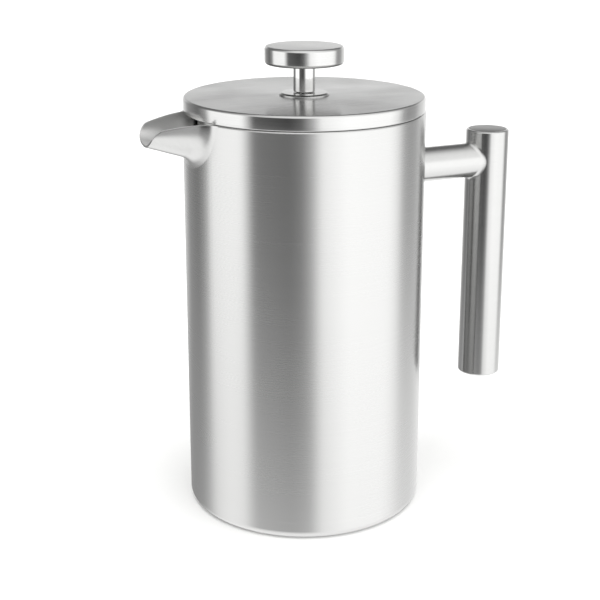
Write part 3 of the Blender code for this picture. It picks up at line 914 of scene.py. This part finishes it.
# %% Spring tree
spring_tree, given = new_tree(
    "wound_spring", ring="float", coil="float", wire="float", height="float", turns="int",
    points="int", material="material",
)
tree = spring_tree
count = add(tree, MATH, {0: given["turns"], 1: given["points"]}, operation="MULTIPLY")[0]
circle = add(tree, CIRCLE, {"Resolution": count, "Radius": 1.0})[0]
number = add(tree, "GeometryNodeInputIndex")[0]
share = add(tree, MATH, {0: number, 1: count}, operation="DIVIDE")[0]
round_ring = add(tree, MATH, {0: share, 1: 2 * math.pi}, operation="MULTIPLY")[0]
round_coil = add(tree, MATH, {0: round_ring, 1: given["turns"]}, operation="MULTIPLY")[0]
coil_out = add(tree, MATH, {0: round_coil}, operation="COSINE")[0]
coil_up = add(tree, MATH, {0: round_coil}, operation="SINE")[0]
out = add(tree, MATH, {0: coil_out, 1: given["coil"], 2: given["ring"]}, operation="MULTIPLY_ADD")[0]
up = add(tree, MATH, {0: coil_up, 1: given["coil"], 2: given["height"]}, operation="MULTIPLY_ADD")[0]
ring_x = add(tree, MATH, {0: round_ring}, operation="COSINE")[0]
ring_y = add(tree, MATH, {0: round_ring}, operation="SINE")[0]
place = add(tree, COMBINE, {
    "X": add(tree, MATH, {0: out, 1: ring_x}, operation="MULTIPLY")[0],
    "Y": add(tree, MATH, {0: out, 1: ring_y}, operation="MULTIPLY")[0],
    "Z": up,
})[0]
line = add(tree, "GeometryNodeSetPosition", {"Geometry": circle, "Position": place})[0]
close_tree(tree, wire_along(tree, line, 6, given["wire"]), given["material"])

RING_LOW, RING_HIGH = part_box("rim_spring")
SPRING_WIRE = 0.3 * MM
ring_mid_z = (RING_LOW.z + RING_HIGH.z) / 2
coil_radius = (RING_HIGH.z - RING_LOW.z) / 2
spring = grow(
    "filter_spring", spring_tree, ring=RING_HIGH.x - coil_radius, coil=coil_radius - SPRING_WIRE,
    wire=SPRING_WIRE, height=ring_mid_z, turns=190, points=12, material=drawn_wire,
)

# %% [markdown]
# ### The woven screen
#
# The screen is plain-woven wire cloth. A real one is several times finer than could be seen on a whole
# press, so this one is drawn at 1.2 mm, as coarse as it needs to be seen. Rows come from a grid: the
# edges across the rows are dropped, what lies outside the disc is dropped, and each row that is left
# becomes a curve that rises and falls over its neighbours.

# %% Rows of wire
rows_tree, given = new_tree(
    "wire_rows", pitch="float", wire="float", lift="float", radius="float", half_count="int"
)
tree = rows_tree
half = given["half_count"]
size = add(tree, MATH, {0: given["pitch"], 1: half}, operation="MULTIPLY")[0]
size = add(tree, MATH, {0: size, 1: 2.0}, operation="MULTIPLY")[0]
rows_across = add(tree, MATH, {0: half, 1: 2.0, 2: 1.0}, operation="MULTIPLY_ADD")[0]
points_along = add(tree, MATH, {0: half, 1: 4.0, 2: 1.0}, operation="MULTIPLY_ADD")[0]
grid = add(tree, "GeometryNodeMeshGrid", {
    "Size X": size, "Size Y": size, "Vertices X": points_along, "Vertices Y": rows_across,
})[0]
ends = add(tree, "GeometryNodeInputMeshEdgeVertices")
step = {0: ends["Position 1"], 1: ends["Position 2"]}
step = add(tree, VECTOR_MATH, step, operation="SUBTRACT")[0]
step_y = add(tree, MATH, {0: add(tree, SPLIT, {0: step})["Y"]}, operation="ABSOLUTE")[0]
half_pitch = add(tree, MATH, {0: given["pitch"], 1: 0.5}, operation="MULTIPLY")[0]
crosses = add(tree, MATH, {0: step_y, 1: half_pitch}, operation="GREATER_THAN")[0]
rows_only = add(
    tree, "GeometryNodeDeleteGeometry", {"Geometry": grid, "Selection": crosses},
    domain="EDGE", mode="EDGE_FACE",
)[0]
here = add(tree, "GeometryNodeInputPosition")[0]
distance = add(tree, VECTOR_MATH, {0: here}, operation="LENGTH")["Value"]
outside = add(tree, MATH, {0: distance, 1: given["radius"]}, operation="GREATER_THAN")[0]
in_disc = add(
    tree, "GeometryNodeDeleteGeometry", {"Geometry": rows_only, "Selection": outside},
    domain="POINT", mode="ALL",
)[0]
xyz = add(tree, SPLIT, {0: here})
steps_along = add(tree, MATH, {0: xyz["X"], 1: given["pitch"]}, operation="DIVIDE")[0]
row_number = add(tree, MATH, {0: xyz["Y"], 1: given["pitch"]}, operation="DIVIDE")[0]
phase = add(tree, MATH, {0: steps_along, 1: row_number}, operation="ADD")[0]
phase = add(tree, MATH, {0: phase, 1: math.pi}, operation="MULTIPLY")[0]
rise = add(tree, MATH, {0: phase}, operation="COSINE")[0]
rise = add(tree, MATH, {0: rise, 1: given["lift"]}, operation="MULTIPLY")[0]
rise = add(tree, COMBINE, {"Z": rise})[0]
waved = add(tree, "GeometryNodeSetPosition", {"Geometry": in_disc, "Offset": rise})[0]
line = add(tree, "GeometryNodeMeshToCurve", {"Mesh": waved})[0]
add(tree, "NodeGroupOutput", {"Geometry": wire_along(tree, line, 4, given["wire"], caps=True)})
print("nodes for one set of rows:", len(rows_tree.nodes))

# %% [markdown]
# The same rows turned a quarter and lifted the other way make the crossing wires: where one set goes
# over, the other goes under.

# %% The screen
screen_tree, given = new_tree(
    "woven_screen", pitch="float", wire="float", radius="float", half_count="int", height="float",
    material="material",
)
tree = screen_tree
row_sets = []
for sign in (1.0, -1.0):
    inputs = {key: given[key] for key in ("pitch", "wire", "radius", "half_count")}
    inputs["lift"] = add(tree, MATH, {0: given["wire"], 1: sign}, operation="MULTIPLY")[0]
    row_sets.append(add(tree, "GeometryNodeGroup", inputs, node_tree=rows_tree)[0])
warp, weft = row_sets
quarter_turn = {"Geometry": weft, "Rotation": (0.0, 0.0, math.pi / 2)}
weft = add(tree, "GeometryNodeTransform", quarter_turn)[0]
cloth = add(tree, "GeometryNodeJoinGeometry", {"Geometry": [warp, weft]})[0]
close_tree(tree, lifted(tree, cloth, given["height"]), given["material"])

MESH_LOW, MESH_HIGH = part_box("mesh_screen")
WIRE_PITCH = 1.2 * MM
WIRE_RADIUS = 0.16 * MM
screen_radius = MESH_HIGH.x - 1.6 * MM
screen = grow(
    "woven_wire_screen", screen_tree, pitch=WIRE_PITCH, wire=WIRE_RADIUS, radius=screen_radius,
    half_count=int(screen_radius / WIRE_PITCH), height=MESH_LOW.z + 0.2 * MM, material=drawn_wire,
)

# %% [markdown]
# The screen's edge is folded up round the spring. There the cloth is seen edge on and packed together,
# so it is a thin turned dish whose weave is relief in its material: two sets of ridges, one round the
# dish and one up it, both drawn at 0.7 mm to show. Its grey follows that relief, darker in the hollows,
# as painted shade.

# %% The screen's edge
RIDGES_ROUND = 420
RIDGE_PITCH = 0.7 * MM
cloth_edge, tree, shader, place = new_material("folded_wire_cloth_steel", 1.0, 0.34)
xyz = add(tree, SPLIT, {0: place})
angle = add(tree, MATH, {0: xyz["Y"], 1: xyz["X"]}, operation="ARCTAN2")[0]
ridge_up = add(tree, MATH, {0: angle, 1: float(RIDGES_ROUND)}, operation="MULTIPLY")[0]
ridge_up = add(tree, MATH, {0: ridge_up}, operation="SINE")[0]
ridge_round = add(tree, MATH, {0: xyz["Z"], 1: 2 * math.pi / RIDGE_PITCH}, operation="MULTIPLY")[0]
ridge_round = add(tree, MATH, {0: ridge_round}, operation="SINE")[0]
weave = add(tree, MATH, {0: ridge_up, 1: ridge_round}, operation="MULTIPLY")[0]
share = add(tree, MATH, {0: weave, 1: 0.5, 2: 0.5}, operation="MULTIPLY_ADD")[0]
# Painted shade: the grey is darker where the relief is low and lighter on its ridges.
greys = {MIX_A: linear("#8E8E8D"), MIX_B: linear("#CBCBCA")}
tint = add(tree, MIX, {0: share, **greys}, data_type="RGBA")
tree.links.new(tint[MIX_RESULT], shader["Base Color"])
relief = add(tree, "ShaderNodeBump", {"Height": weave, "Strength": 0.8, "Distance": 0.08 * MM})[0]
tree.links.new(relief, shader["Normal"])

dish_corners = [
    (MESH_HIGH.x, MESH_HIGH.z, 0),
    (MESH_HIGH.x, MESH_LOW.z, 1.4 * MM),
    (MESH_HIGH.x - 3.0 * MM, MESH_LOW.z, 0),
]
dish = turned("screen_folded_edge", dish_corners, [cloth_edge], segments=192, sheet=-0.3 * MM)

# %% [markdown]
# ### Perforated plates
#
# Both plates are stamped discs. A disc with holes is easiest drawn flat: an outer circle, a bore and
# rings of small circles, filled between them, then thickened. Rings are added to the tree by a loop, and
# each has its own radius, count and hole size as inputs.

# %% Plate tree
def plate_tree(name, ring_count):
    """A flat round plate with a bore and ring_count rings of round holes."""
    labels = {"outer": "float", "bore": "float", "thickness": "float", "height": "float"}
    for i in range(ring_count):
        labels |= {f"ring_{i}": "float", f"hole_{i}": "float", f"count_{i}": "int"}
    tree, given = new_tree(name, **labels, material="material")
    outer = add(tree, CIRCLE, {"Radius": given["outer"], "Resolution": 160})[0]
    bore = add(tree, CIRCLE, {"Radius": given["bore"], "Resolution": 48})[0]
    outlines = [outer, bore]
    for i in range(ring_count):
        places = {"Radius": given[f"ring_{i}"], "Resolution": given[f"count_{i}"]}
        places = add(tree, CIRCLE, places)[0]
        places = add(tree, "GeometryNodeCurveToPoints", {"Curve": places}, mode="EVALUATED")[0]
        hole = add(tree, CIRCLE, {"Radius": given[f"hole_{i}"], "Resolution": 24})[0]
        holes = add(tree, "GeometryNodeInstanceOnPoints", {"Points": places, "Instance": hole})[0]
        outlines.append(add(tree, "GeometryNodeRealizeInstances", {"Geometry": holes})[0])
    outlines = add(tree, "GeometryNodeJoinGeometry", {"Geometry": outlines})[0]
    face = lifted(tree, add(tree, "GeometryNodeFillCurve", {"Curve": outlines})[0], given["height"])
    thick = add(tree, "GeometryNodeExtrudeMesh", {
        "Mesh": face,
        "Offset": add(tree, COMBINE, {"Z": 1.0})[0],
        "Offset Scale": given["thickness"],
        "Individual": False,
    })[0]
    under = add(tree, "GeometryNodeFlipFaces", {"Mesh": face})[0]
    both = add(tree, "GeometryNodeJoinGeometry", {"Geometry": [thick, under]})[0]
    welded = add(tree, "GeometryNodeMergeByDistance", {"Geometry": both, "Distance": 1e-7})[0]
    close_tree(tree, welded, given["material"])
    return tree


stamping_tree = plate_tree("plate_stamping", 2)
print("nodes for a plate with two rings of holes:", len(stamping_tree.nodes))

# %% [markdown]
# ### The cross plate and the spring plate
#
# The cross plate below the screen has large holes and a turned-down rim. The spring plate above it has
# small holes round a raised dome, and a lip that holds the spring. Rims, dome and lip are turned, and
# join the flat part in one mesh.

# %% The two plates
def join_into(target, *others):
    """Adds the other objects' meshes to target's, and removes them."""
    bm = bmesh.new()
    for obj in (target, *others):
        bm.from_mesh(obj.data)
    bm.to_mesh(target.data)
    bm.free()
    for obj in others:
        bpy.data.objects.remove(obj)
    return target


CROSS_LOW, CROSS_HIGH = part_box("cross_plate")
CROSS_RADIUS = CROSS_HIGH.x
RIM_START = CROSS_RADIUS - 1.6 * MM
ROD_HOLE = ROD_RADIUS + 0.3 * MM
cross_flat = grow(
    "cross_stamping", stamping_tree, outer=RIM_START, bore=ROD_HOLE, thickness=SHEET,
    height=CROSS_HIGH.z - SHEET, ring_0=24 * MM, hole_0=6.5 * MM, count_0=8, ring_1=37.5 * MM,
    hole_1=2.6 * MM, count_1=24, material=brushed_side,
)
cross_rim_corners = [
    (RIM_START, CROSS_HIGH.z, 0),
    (CROSS_RADIUS, CROSS_HIGH.z, 1.2 * MM),
    (CROSS_RADIUS, CROSS_LOW.z, 0),
]
cross_rim = turned("cross_rim", cross_rim_corners, [brushed_side], segments=160, sheet=-SHEET)
cross = join_into(cross_flat, cross_rim)

PLATE_LOW, PLATE_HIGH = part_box("spring_plate")
PLATE_RADIUS = PLATE_HIGH.x
DOME_RADIUS = 29.5 * MM
LIP_START = PLATE_RADIUS - 1.4 * MM
spring_flat = grow(
    "spring_stamping", stamping_tree, outer=LIP_START, bore=DOME_RADIUS, thickness=SHEET,
    height=PLATE_LOW.z, ring_0=33.2 * MM, hole_0=1.5 * MM, count_0=40, ring_1=37.6 * MM,
    hole_1=1.5 * MM, count_1=40, material=brushed_side,
)
dome_corners = [
    (DOME_RADIUS, PLATE_LOW.z, 0),
    (28.5 * MM, PLATE_LOW.z, 1.5 * MM),
    (14 * MM, PLATE_HIGH.z - SHEET, 3 * MM),
    (ROD_HOLE, PLATE_HIGH.z - SHEET, 0),
]
dome = turned("dome", dome_corners, [brushed_side], segments=160, sheet=-SHEET)
lip_corners = [
    (PLATE_RADIUS, PLATE_LOW.z + 3.2 * MM, 0),
    (PLATE_RADIUS, PLATE_LOW.z, 1.0 * MM),
    (LIP_START, PLATE_LOW.z, 0),
]
lip = turned("lip", lip_corners, [brushed_side], segments=160, sheet=-SHEET)
spring_seat = join_into(spring_flat, dome, lip)

# %% [markdown]
# ### Rod and thread
#
# The rod is polished where it slides and threaded at its foot. The thread is a spiral ridge: a curve
# with a small square section, on its corner, swept along it.

# %% Rod and thread
thread_tree, given = new_tree(
    "screw_thread", radius="float", depth="float", low="float", height="float", turns="int",
    points="int", material="material",
)
tree = thread_tree
spiral = add(tree, "GeometryNodeCurveSpiral", {
    "Resolution": given["points"],
    "Rotations": given["turns"],
    "Start Radius": given["radius"],
    "End Radius": given["radius"],
    "Height": given["height"],
})[0]
ridge = lifted(tree, wire_along(tree, spiral, 4, given["depth"], caps=True), given["low"])
close_tree(tree, ridge, given["material"])

ROD_LOW, ROD_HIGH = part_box("plunger_rod")
NUT_LOW, NUT_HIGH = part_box("stop_nut")
THREAD_DEPTH = 0.22 * MM
THREAD_PITCH = 0.8 * MM
THREAD_TOP = NUT_HIGH.z + 7 * MM
CORE_RADIUS = ROD_RADIUS - 0.25 * MM
rod_corners = [
    (0.0, ROD_HIGH.z, 0),
    (ROD_RADIUS, ROD_HIGH.z, 0.4 * MM),
    (ROD_RADIUS, THREAD_TOP, 0.0),
    (CORE_RADIUS, THREAD_TOP - 0.3 * MM, 0.0),
    (CORE_RADIUS, ROD_LOW.z, 0.3 * MM),
    (0.0, ROD_LOW.z, 0),
]
rod = turned("sliding_rod", rod_corners, [polished], segments=64, steps=4)
thread_turns = int((THREAD_TOP - ROD_LOW.z - 1.0 * MM) / THREAD_PITCH)
thread = grow(
    "rod_thread", thread_tree, radius=CORE_RADIUS, depth=THREAD_DEPTH, low=ROD_LOW.z + 0.4 * MM,
    height=thread_turns * THREAD_PITCH, turns=thread_turns, points=24, material=lathe_cut,
)

# %% [markdown]
# ### Washer and hub
#
# The filter is clamped between a washer and a hub. The hub is knurled, so that it can be undone by wet
# fingers: its radius rises and falls round it.

# %% Washer and hub
WASHER_LOW, WASHER_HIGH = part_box("hub_washer")
WASHER_BORE = ROD_RADIUS + 0.2 * MM
washer_corners = [
    (WASHER_BORE, WASHER_HIGH.z, 0),
    (WASHER_HIGH.x, WASHER_HIGH.z, 0.25 * MM),
    (WASHER_HIGH.x, WASHER_LOW.z, 0.15 * MM),
    (WASHER_BORE, WASHER_LOW.z, 0),
]
washer = turned("clamp_washer", washer_corners, [lathe_cut], segments=96, steps=4)

HUB_LOW, HUB_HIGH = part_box("filter_hub")
HUB_BORE = ROD_RADIUS + 0.4 * MM
KNURLS = 36
KNURL_DEPTH = 0.35 * MM
hub_levels = [
    (HUB_HIGH.z, HUB_HIGH.x - 1.2 * MM, 0), (HUB_HIGH.z - 0.5 * MM, HUB_HIGH.x - 0.4 * MM, 0),
    (HUB_HIGH.z - 0.9 * MM, HUB_HIGH.x, 1), (HUB_LOW.z + 0.9 * MM, HUB_HIGH.x, 1),
    (HUB_LOW.z + 0.4 * MM, HUB_HIGH.x - 0.4 * MM, 0), (HUB_LOW.z, HUB_HIGH.x - 1.0 * MM, 0),
    (HUB_LOW.z, HUB_BORE, 0), (HUB_HIGH.z, HUB_BORE, 0),
]
# Four points to each knurl: its crest, its valley and the two slopes between.
dips = [KNURL_DEPTH * (0.5 - 0.5 * math.cos(math.pi / 2 * i)) for i in range(4 * KNURLS)]
bm = bmesh.new()
hub_rows = [ring(bm, z, [radius - knurled * dip for dip in dips]) for z, radius, knurled in hub_levels]
skin(bm, hub_rows, closed=True, loop=True)
hub = finish_mesh("filter_hub_knurled", bm, [lathe_cut])

# %% [markdown]
# ## Putting the pieces on the bodies
#
# Each piece rides on the body it belongs to and stands for the plain node it was made from, which is
# hidden. The name of the record's finish for each group is printed.

# %% Bodies, nodes and slots
GROUPS = (
    ("vessel", "brushed_steel", (
        (vessel_wall, "outer_shell"), (vessel_liner, "inner_liner"), (base, "base_plate"),
        (spout, "spout"), (arm, "handle_arm"), (grip, "handle_bar"),
        (end_discs[0], "handle_top_cap"), (end_discs[1], "handle_bottom_cap"),
    )),
    ("lid", "brushed_steel", ((lid_cap, "lid_cap"), (lid_pan, "lid_pan"))),
    ("lid", "polished_steel", ((collar, "guide_collar"), (guide_nut, "guide_nut"))),
    ("guide", "ptfe", ((bush, "guide_bush"),)),
    ("plunger", "brushed_steel", ((knob, "knob_cap"), (knob_plate, "knob_base"))),
    ("plunger", "mesh_steel", ((screen, "mesh_screen"), (dish, "mesh_screen"))),
    ("plunger", "polished_steel", (
        (neck, "knob_neck"), (boss, "knob_insert"), (rod, "plunger_rod"), (thread, "plunger_rod"),
        (cross, "cross_plate"), (spring_seat, "spring_plate"), (spring, "rim_spring"),
        (washer, "hub_washer"), (stop_nut, "stop_nut"), (hub, "filter_hub"),
    )),
)
for body, slot, pieces in GROUPS:
    for piece, node in pieces:
        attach(piece, body)
        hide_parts(node)
    print(body, "has", len(pieces), "pieces of", slot)

# %% [markdown]
# ## The table
#
# The floor is pale, matt and plain. It is left out of reflections, where the world's own grey stands
# for it, and from below it is clear, so that the underside of the press can be seen.

# %% Floor
FLOOR_SIZE = 12.0
FLOOR_Z = -0.02 * MM
bpy.ops.mesh.primitive_plane_add(size=FLOOR_SIZE, location=(0.0, 0.0, FLOOR_Z))
floor = bpy.context.object
floor.name = "floor"
floor_paint, tree, shader, _ = new_material("pale_matt_table", 0.0, 0.9)
shader["Base Color"].default_value = linear("#F4F4F3")
shader["Specular IOR Level"].default_value = 0.1
clear = add(tree, "ShaderNodeBsdfTransparent")[0]
below = add(tree, "ShaderNodeNewGeometry")["Backfacing"]
paint = tree.nodes["Principled BSDF"].outputs[0]
one_way = add(tree, "ShaderNodeMixShader", {0: below, 1: paint, 2: clear})[0]
tree.links.new(one_way, tree.nodes["Material Output"].inputs["Surface"])
floor.data.materials.append(floor_paint)
floor.visible_glossy = False
print("floor", FLOOR_SIZE, "m across")

# %% [markdown]
# ## The room
#
# Steel has no look of its own: it shows the room. The room here is a studio with a long softbox on
# either side and a darker gap between them, where the camera stands. It is drawn on the world as rings
# of greys, one above the other: a soft ring that stands for what the pale table throws up, a ring with
# crisp changes round the horizon, and one higher up. Straight down is the table's grey, and straight up
# an even overhead grey. Each ring is a list of bearings, with 0 at the camera and right as seen from it
# positive, and the room's brightness there.

# %% The rings of greys
VIEW_AZIMUTH = math.radians(-24.0)
TO_CAMERA = Vector((math.sin(VIEW_AZIMUTH), -math.cos(VIEW_AZIMUTH), 0.0))
TO_RIGHT = Vector((math.cos(VIEW_AZIMUTH), math.sin(VIEW_AZIMUTH), 0.0))
TABLE = (0.78, 0.78, 0.78, 1.0)
LOW_RING = (
    (-180, 0.40), (-150, 0.36), (-122, 0.44), (-108, 0.62), (-98, 0.98), (-80, 1.15), (-62, 1.06),
    (-48, 0.50), (-12, 0.32), (6, 0.38), (19, 1.05), (45, 1.40), (85, 1.38), (110, 1.05), (140, 1.00),
    (165, 1.10), (180, 0.80),
)
HORIZON_RING = (
    (-180, 1.05), (-164, 0.92), (-154, 0.70), (-142, 0.36), (-118, 0.18), (-105, 0.42), (-98, 1.30),
    (-60, 1.40), (-54, 0.80), (-48, 0.14), (-14, 0.07), (-2, 0.16), (8, 0.60), (16, 1.30), (40, 1.52),
    (88, 1.45), (98, 1.15), (106, 0.52), (114, 0.40), (128, 0.48), (138, 0.78), (154, 0.98),
    (180, 1.05),
)
UPPER_RING = (
    (-180, 0.15), (-120, 0.20), (-80, 0.60), (-30, 1.00), (30, 1.30), (85, 1.00), (120, 0.50),
    (150, 0.16), (180, 0.15),
)
OVERHEAD = (0.58, 0.58, 0.58, 1.0)
brightest = max(level for _, level in LOW_RING + HORIZON_RING + UPPER_RING)
print("the brightest softbox is", brightest, "times white")

# %% [markdown]
# Each ring is a colour ramp over the bearing. A ramp's colours go up to 1, so the levels are divided by
# a scale, and the background's strength brings them back. The rings are then laid over each other from
# the bottom up, each fading in between two heights. Height is the sine of the elevation.

# %% The room
LEVEL_SCALE = 1.6
world = bpy.data.worlds.new("studio")
bpy.context.scene.world = world
world.use_nodes = True
sky = world.node_tree
sky.nodes.clear()
direction = add(sky, "ShaderNodeTexCoord")["Generated"]
ahead = add(sky, VECTOR_MATH, {0: direction, 1: TO_CAMERA}, operation="DOT_PRODUCT")["Value"]
aside = add(sky, VECTOR_MATH, {0: direction, 1: TO_RIGHT}, operation="DOT_PRODUCT")["Value"]
bearing = add(sky, MATH, {0: aside, 1: ahead}, operation="ARCTAN2")[0]
bearing = add(sky, MATH, {0: bearing, 1: 1 / (2 * math.pi), 2: 0.5}, operation="MULTIPLY_ADD")[0]
height = add(sky, SPLIT, {0: direction})["Z"]


def room_ring(stops):
    """The grey of a ring of (bearing in degrees, brightness)."""
    grey = add(sky, "ShaderNodeValToRGB", {"Fac": bearing})[0]
    elements = grey.node.color_ramp.elements
    while len(elements) < len(stops):
        elements.new(0.5)
    for element, (degrees, level) in zip(elements, stops):
        element.position = degrees / 360 + 0.5
        element.color = (*[level / LEVEL_SCALE] * 3, 1.0)
    return grey


LAYERS = (
    (-0.80, -0.50, room_ring(LOW_RING)), (-0.46, -0.20, room_ring(HORIZON_RING)),
    (0.21, 0.46, room_ring(UPPER_RING)), (0.86, 0.99, OVERHEAD),
)
room = TABLE
for low, high, above in LAYERS:
    rise = {"Value": height, "From Min": low, "From Max": high}
    rise = add(sky, "ShaderNodeMapRange", rise, interpolation_type="SMOOTHSTEP")[0]
    room = add(sky, MIX, {0: rise, MIX_A: room, MIX_B: above}, data_type="RGBA")[MIX_RESULT]
print("layers of the room:", len(LAYERS) + 1)

# %% [markdown]
# Two things here aren't physics. What the camera sees directly is plain white, whatever the steel sees.
# And light from below the horizon that comes by way of two pieces of steel is dimmed, which gives the
# grip the dark side that it should have beside the pot.

# %% Strength of the room
TWICE_REFLECTED = 0.35
ONE_AND_A_HALF = 1.5
paths = add(sky, "ShaderNodeLightPath")
twice = {0: paths["Glossy Depth"], 1: ONE_AND_A_HALF}
twice = add(sky, MATH, twice, operation="GREATER_THAN")[0]
low_down = add(sky, MATH, {0: height, 1: 0.0}, operation="LESS_THAN")[0]
dimmed = add(sky, MATH, {0: twice, 1: low_down}, operation="MULTIPLY")[0]
ends = {"To Min": LEVEL_SCALE, "To Max": LEVEL_SCALE * TWICE_REFLECTED}
strength = add(sky, "ShaderNodeMapRange", {"Value": dimmed, **ends})[0]
lit = add(sky, "ShaderNodeBackground", {"Color": room, "Strength": strength})[0]
plain = add(sky, "ShaderNodeBackground", {"Color": (1, 1, 1, 1), "Strength": 1.0})[0]
both = add(sky, "ShaderNodeMixShader", {0: paths["Is Camera Ray"], 1: lit, 2: plain})[0]
add(sky, "ShaderNodeOutputWorld", {"Surface": both})
print("nodes in the room:", len(sky.nodes))

# %% [markdown]
# ## Light on the table
#
# A wide soft light from overhead whitens the table and leaves a soft shadow under the press. It is kept
# out of reflections, where the room is what shows.

# %% Light on the table
table_light = bpy.data.lights.new("table_light", "SUN")
table_light.angle = math.radians(70)
table_light.energy = 2.4
table_lamp = bpy.data.objects.new("table_light", table_light)
bpy.context.scene.collection.objects.link(table_lamp)
table_lamp.visible_camera = False
table_lamp.visible_glossy = False
print("table light spread over", round(math.degrees(table_light.angle)), "degrees")

# %% [markdown]
# ## The camera
#
# The camera stands close, a little above the lid, and looks slightly down. A small shift of the lens
# keeps some of its downward tilt out of the picture, so the pot's sides stay nearer to upright.

# %% Camera
CAMERA_DISTANCE = 0.570
CAMERA_HEIGHT = 0.2826
CAMERA_TILT = math.radians(15.79)
CAMERA_YAW = math.radians(0.19)
LENS_FACTOR = 1308.5 / 600
SENSOR = 36.0
camera_data = bpy.data.cameras.new("camera")
camera_data.sensor_width = SENSOR
camera_data.lens = SENSOR * LENS_FACTOR
camera_data.shift_y = -0.10
camera = bpy.data.objects.new("camera", camera_data)
bpy.context.scene.collection.objects.link(camera)
camera.location = TO_CAMERA * CAMERA_DISTANCE + Vector((0.0, 0.0, CAMERA_HEIGHT))
camera.rotation_euler = (math.pi / 2 - CAMERA_TILT, 0.0, VIEW_AZIMUTH + CAMERA_YAW)
bpy.context.scene.camera = camera
bpy.context.scene.view_settings.view_transform = "Standard"
print("lens", round(camera_data.lens, 1), "mm")
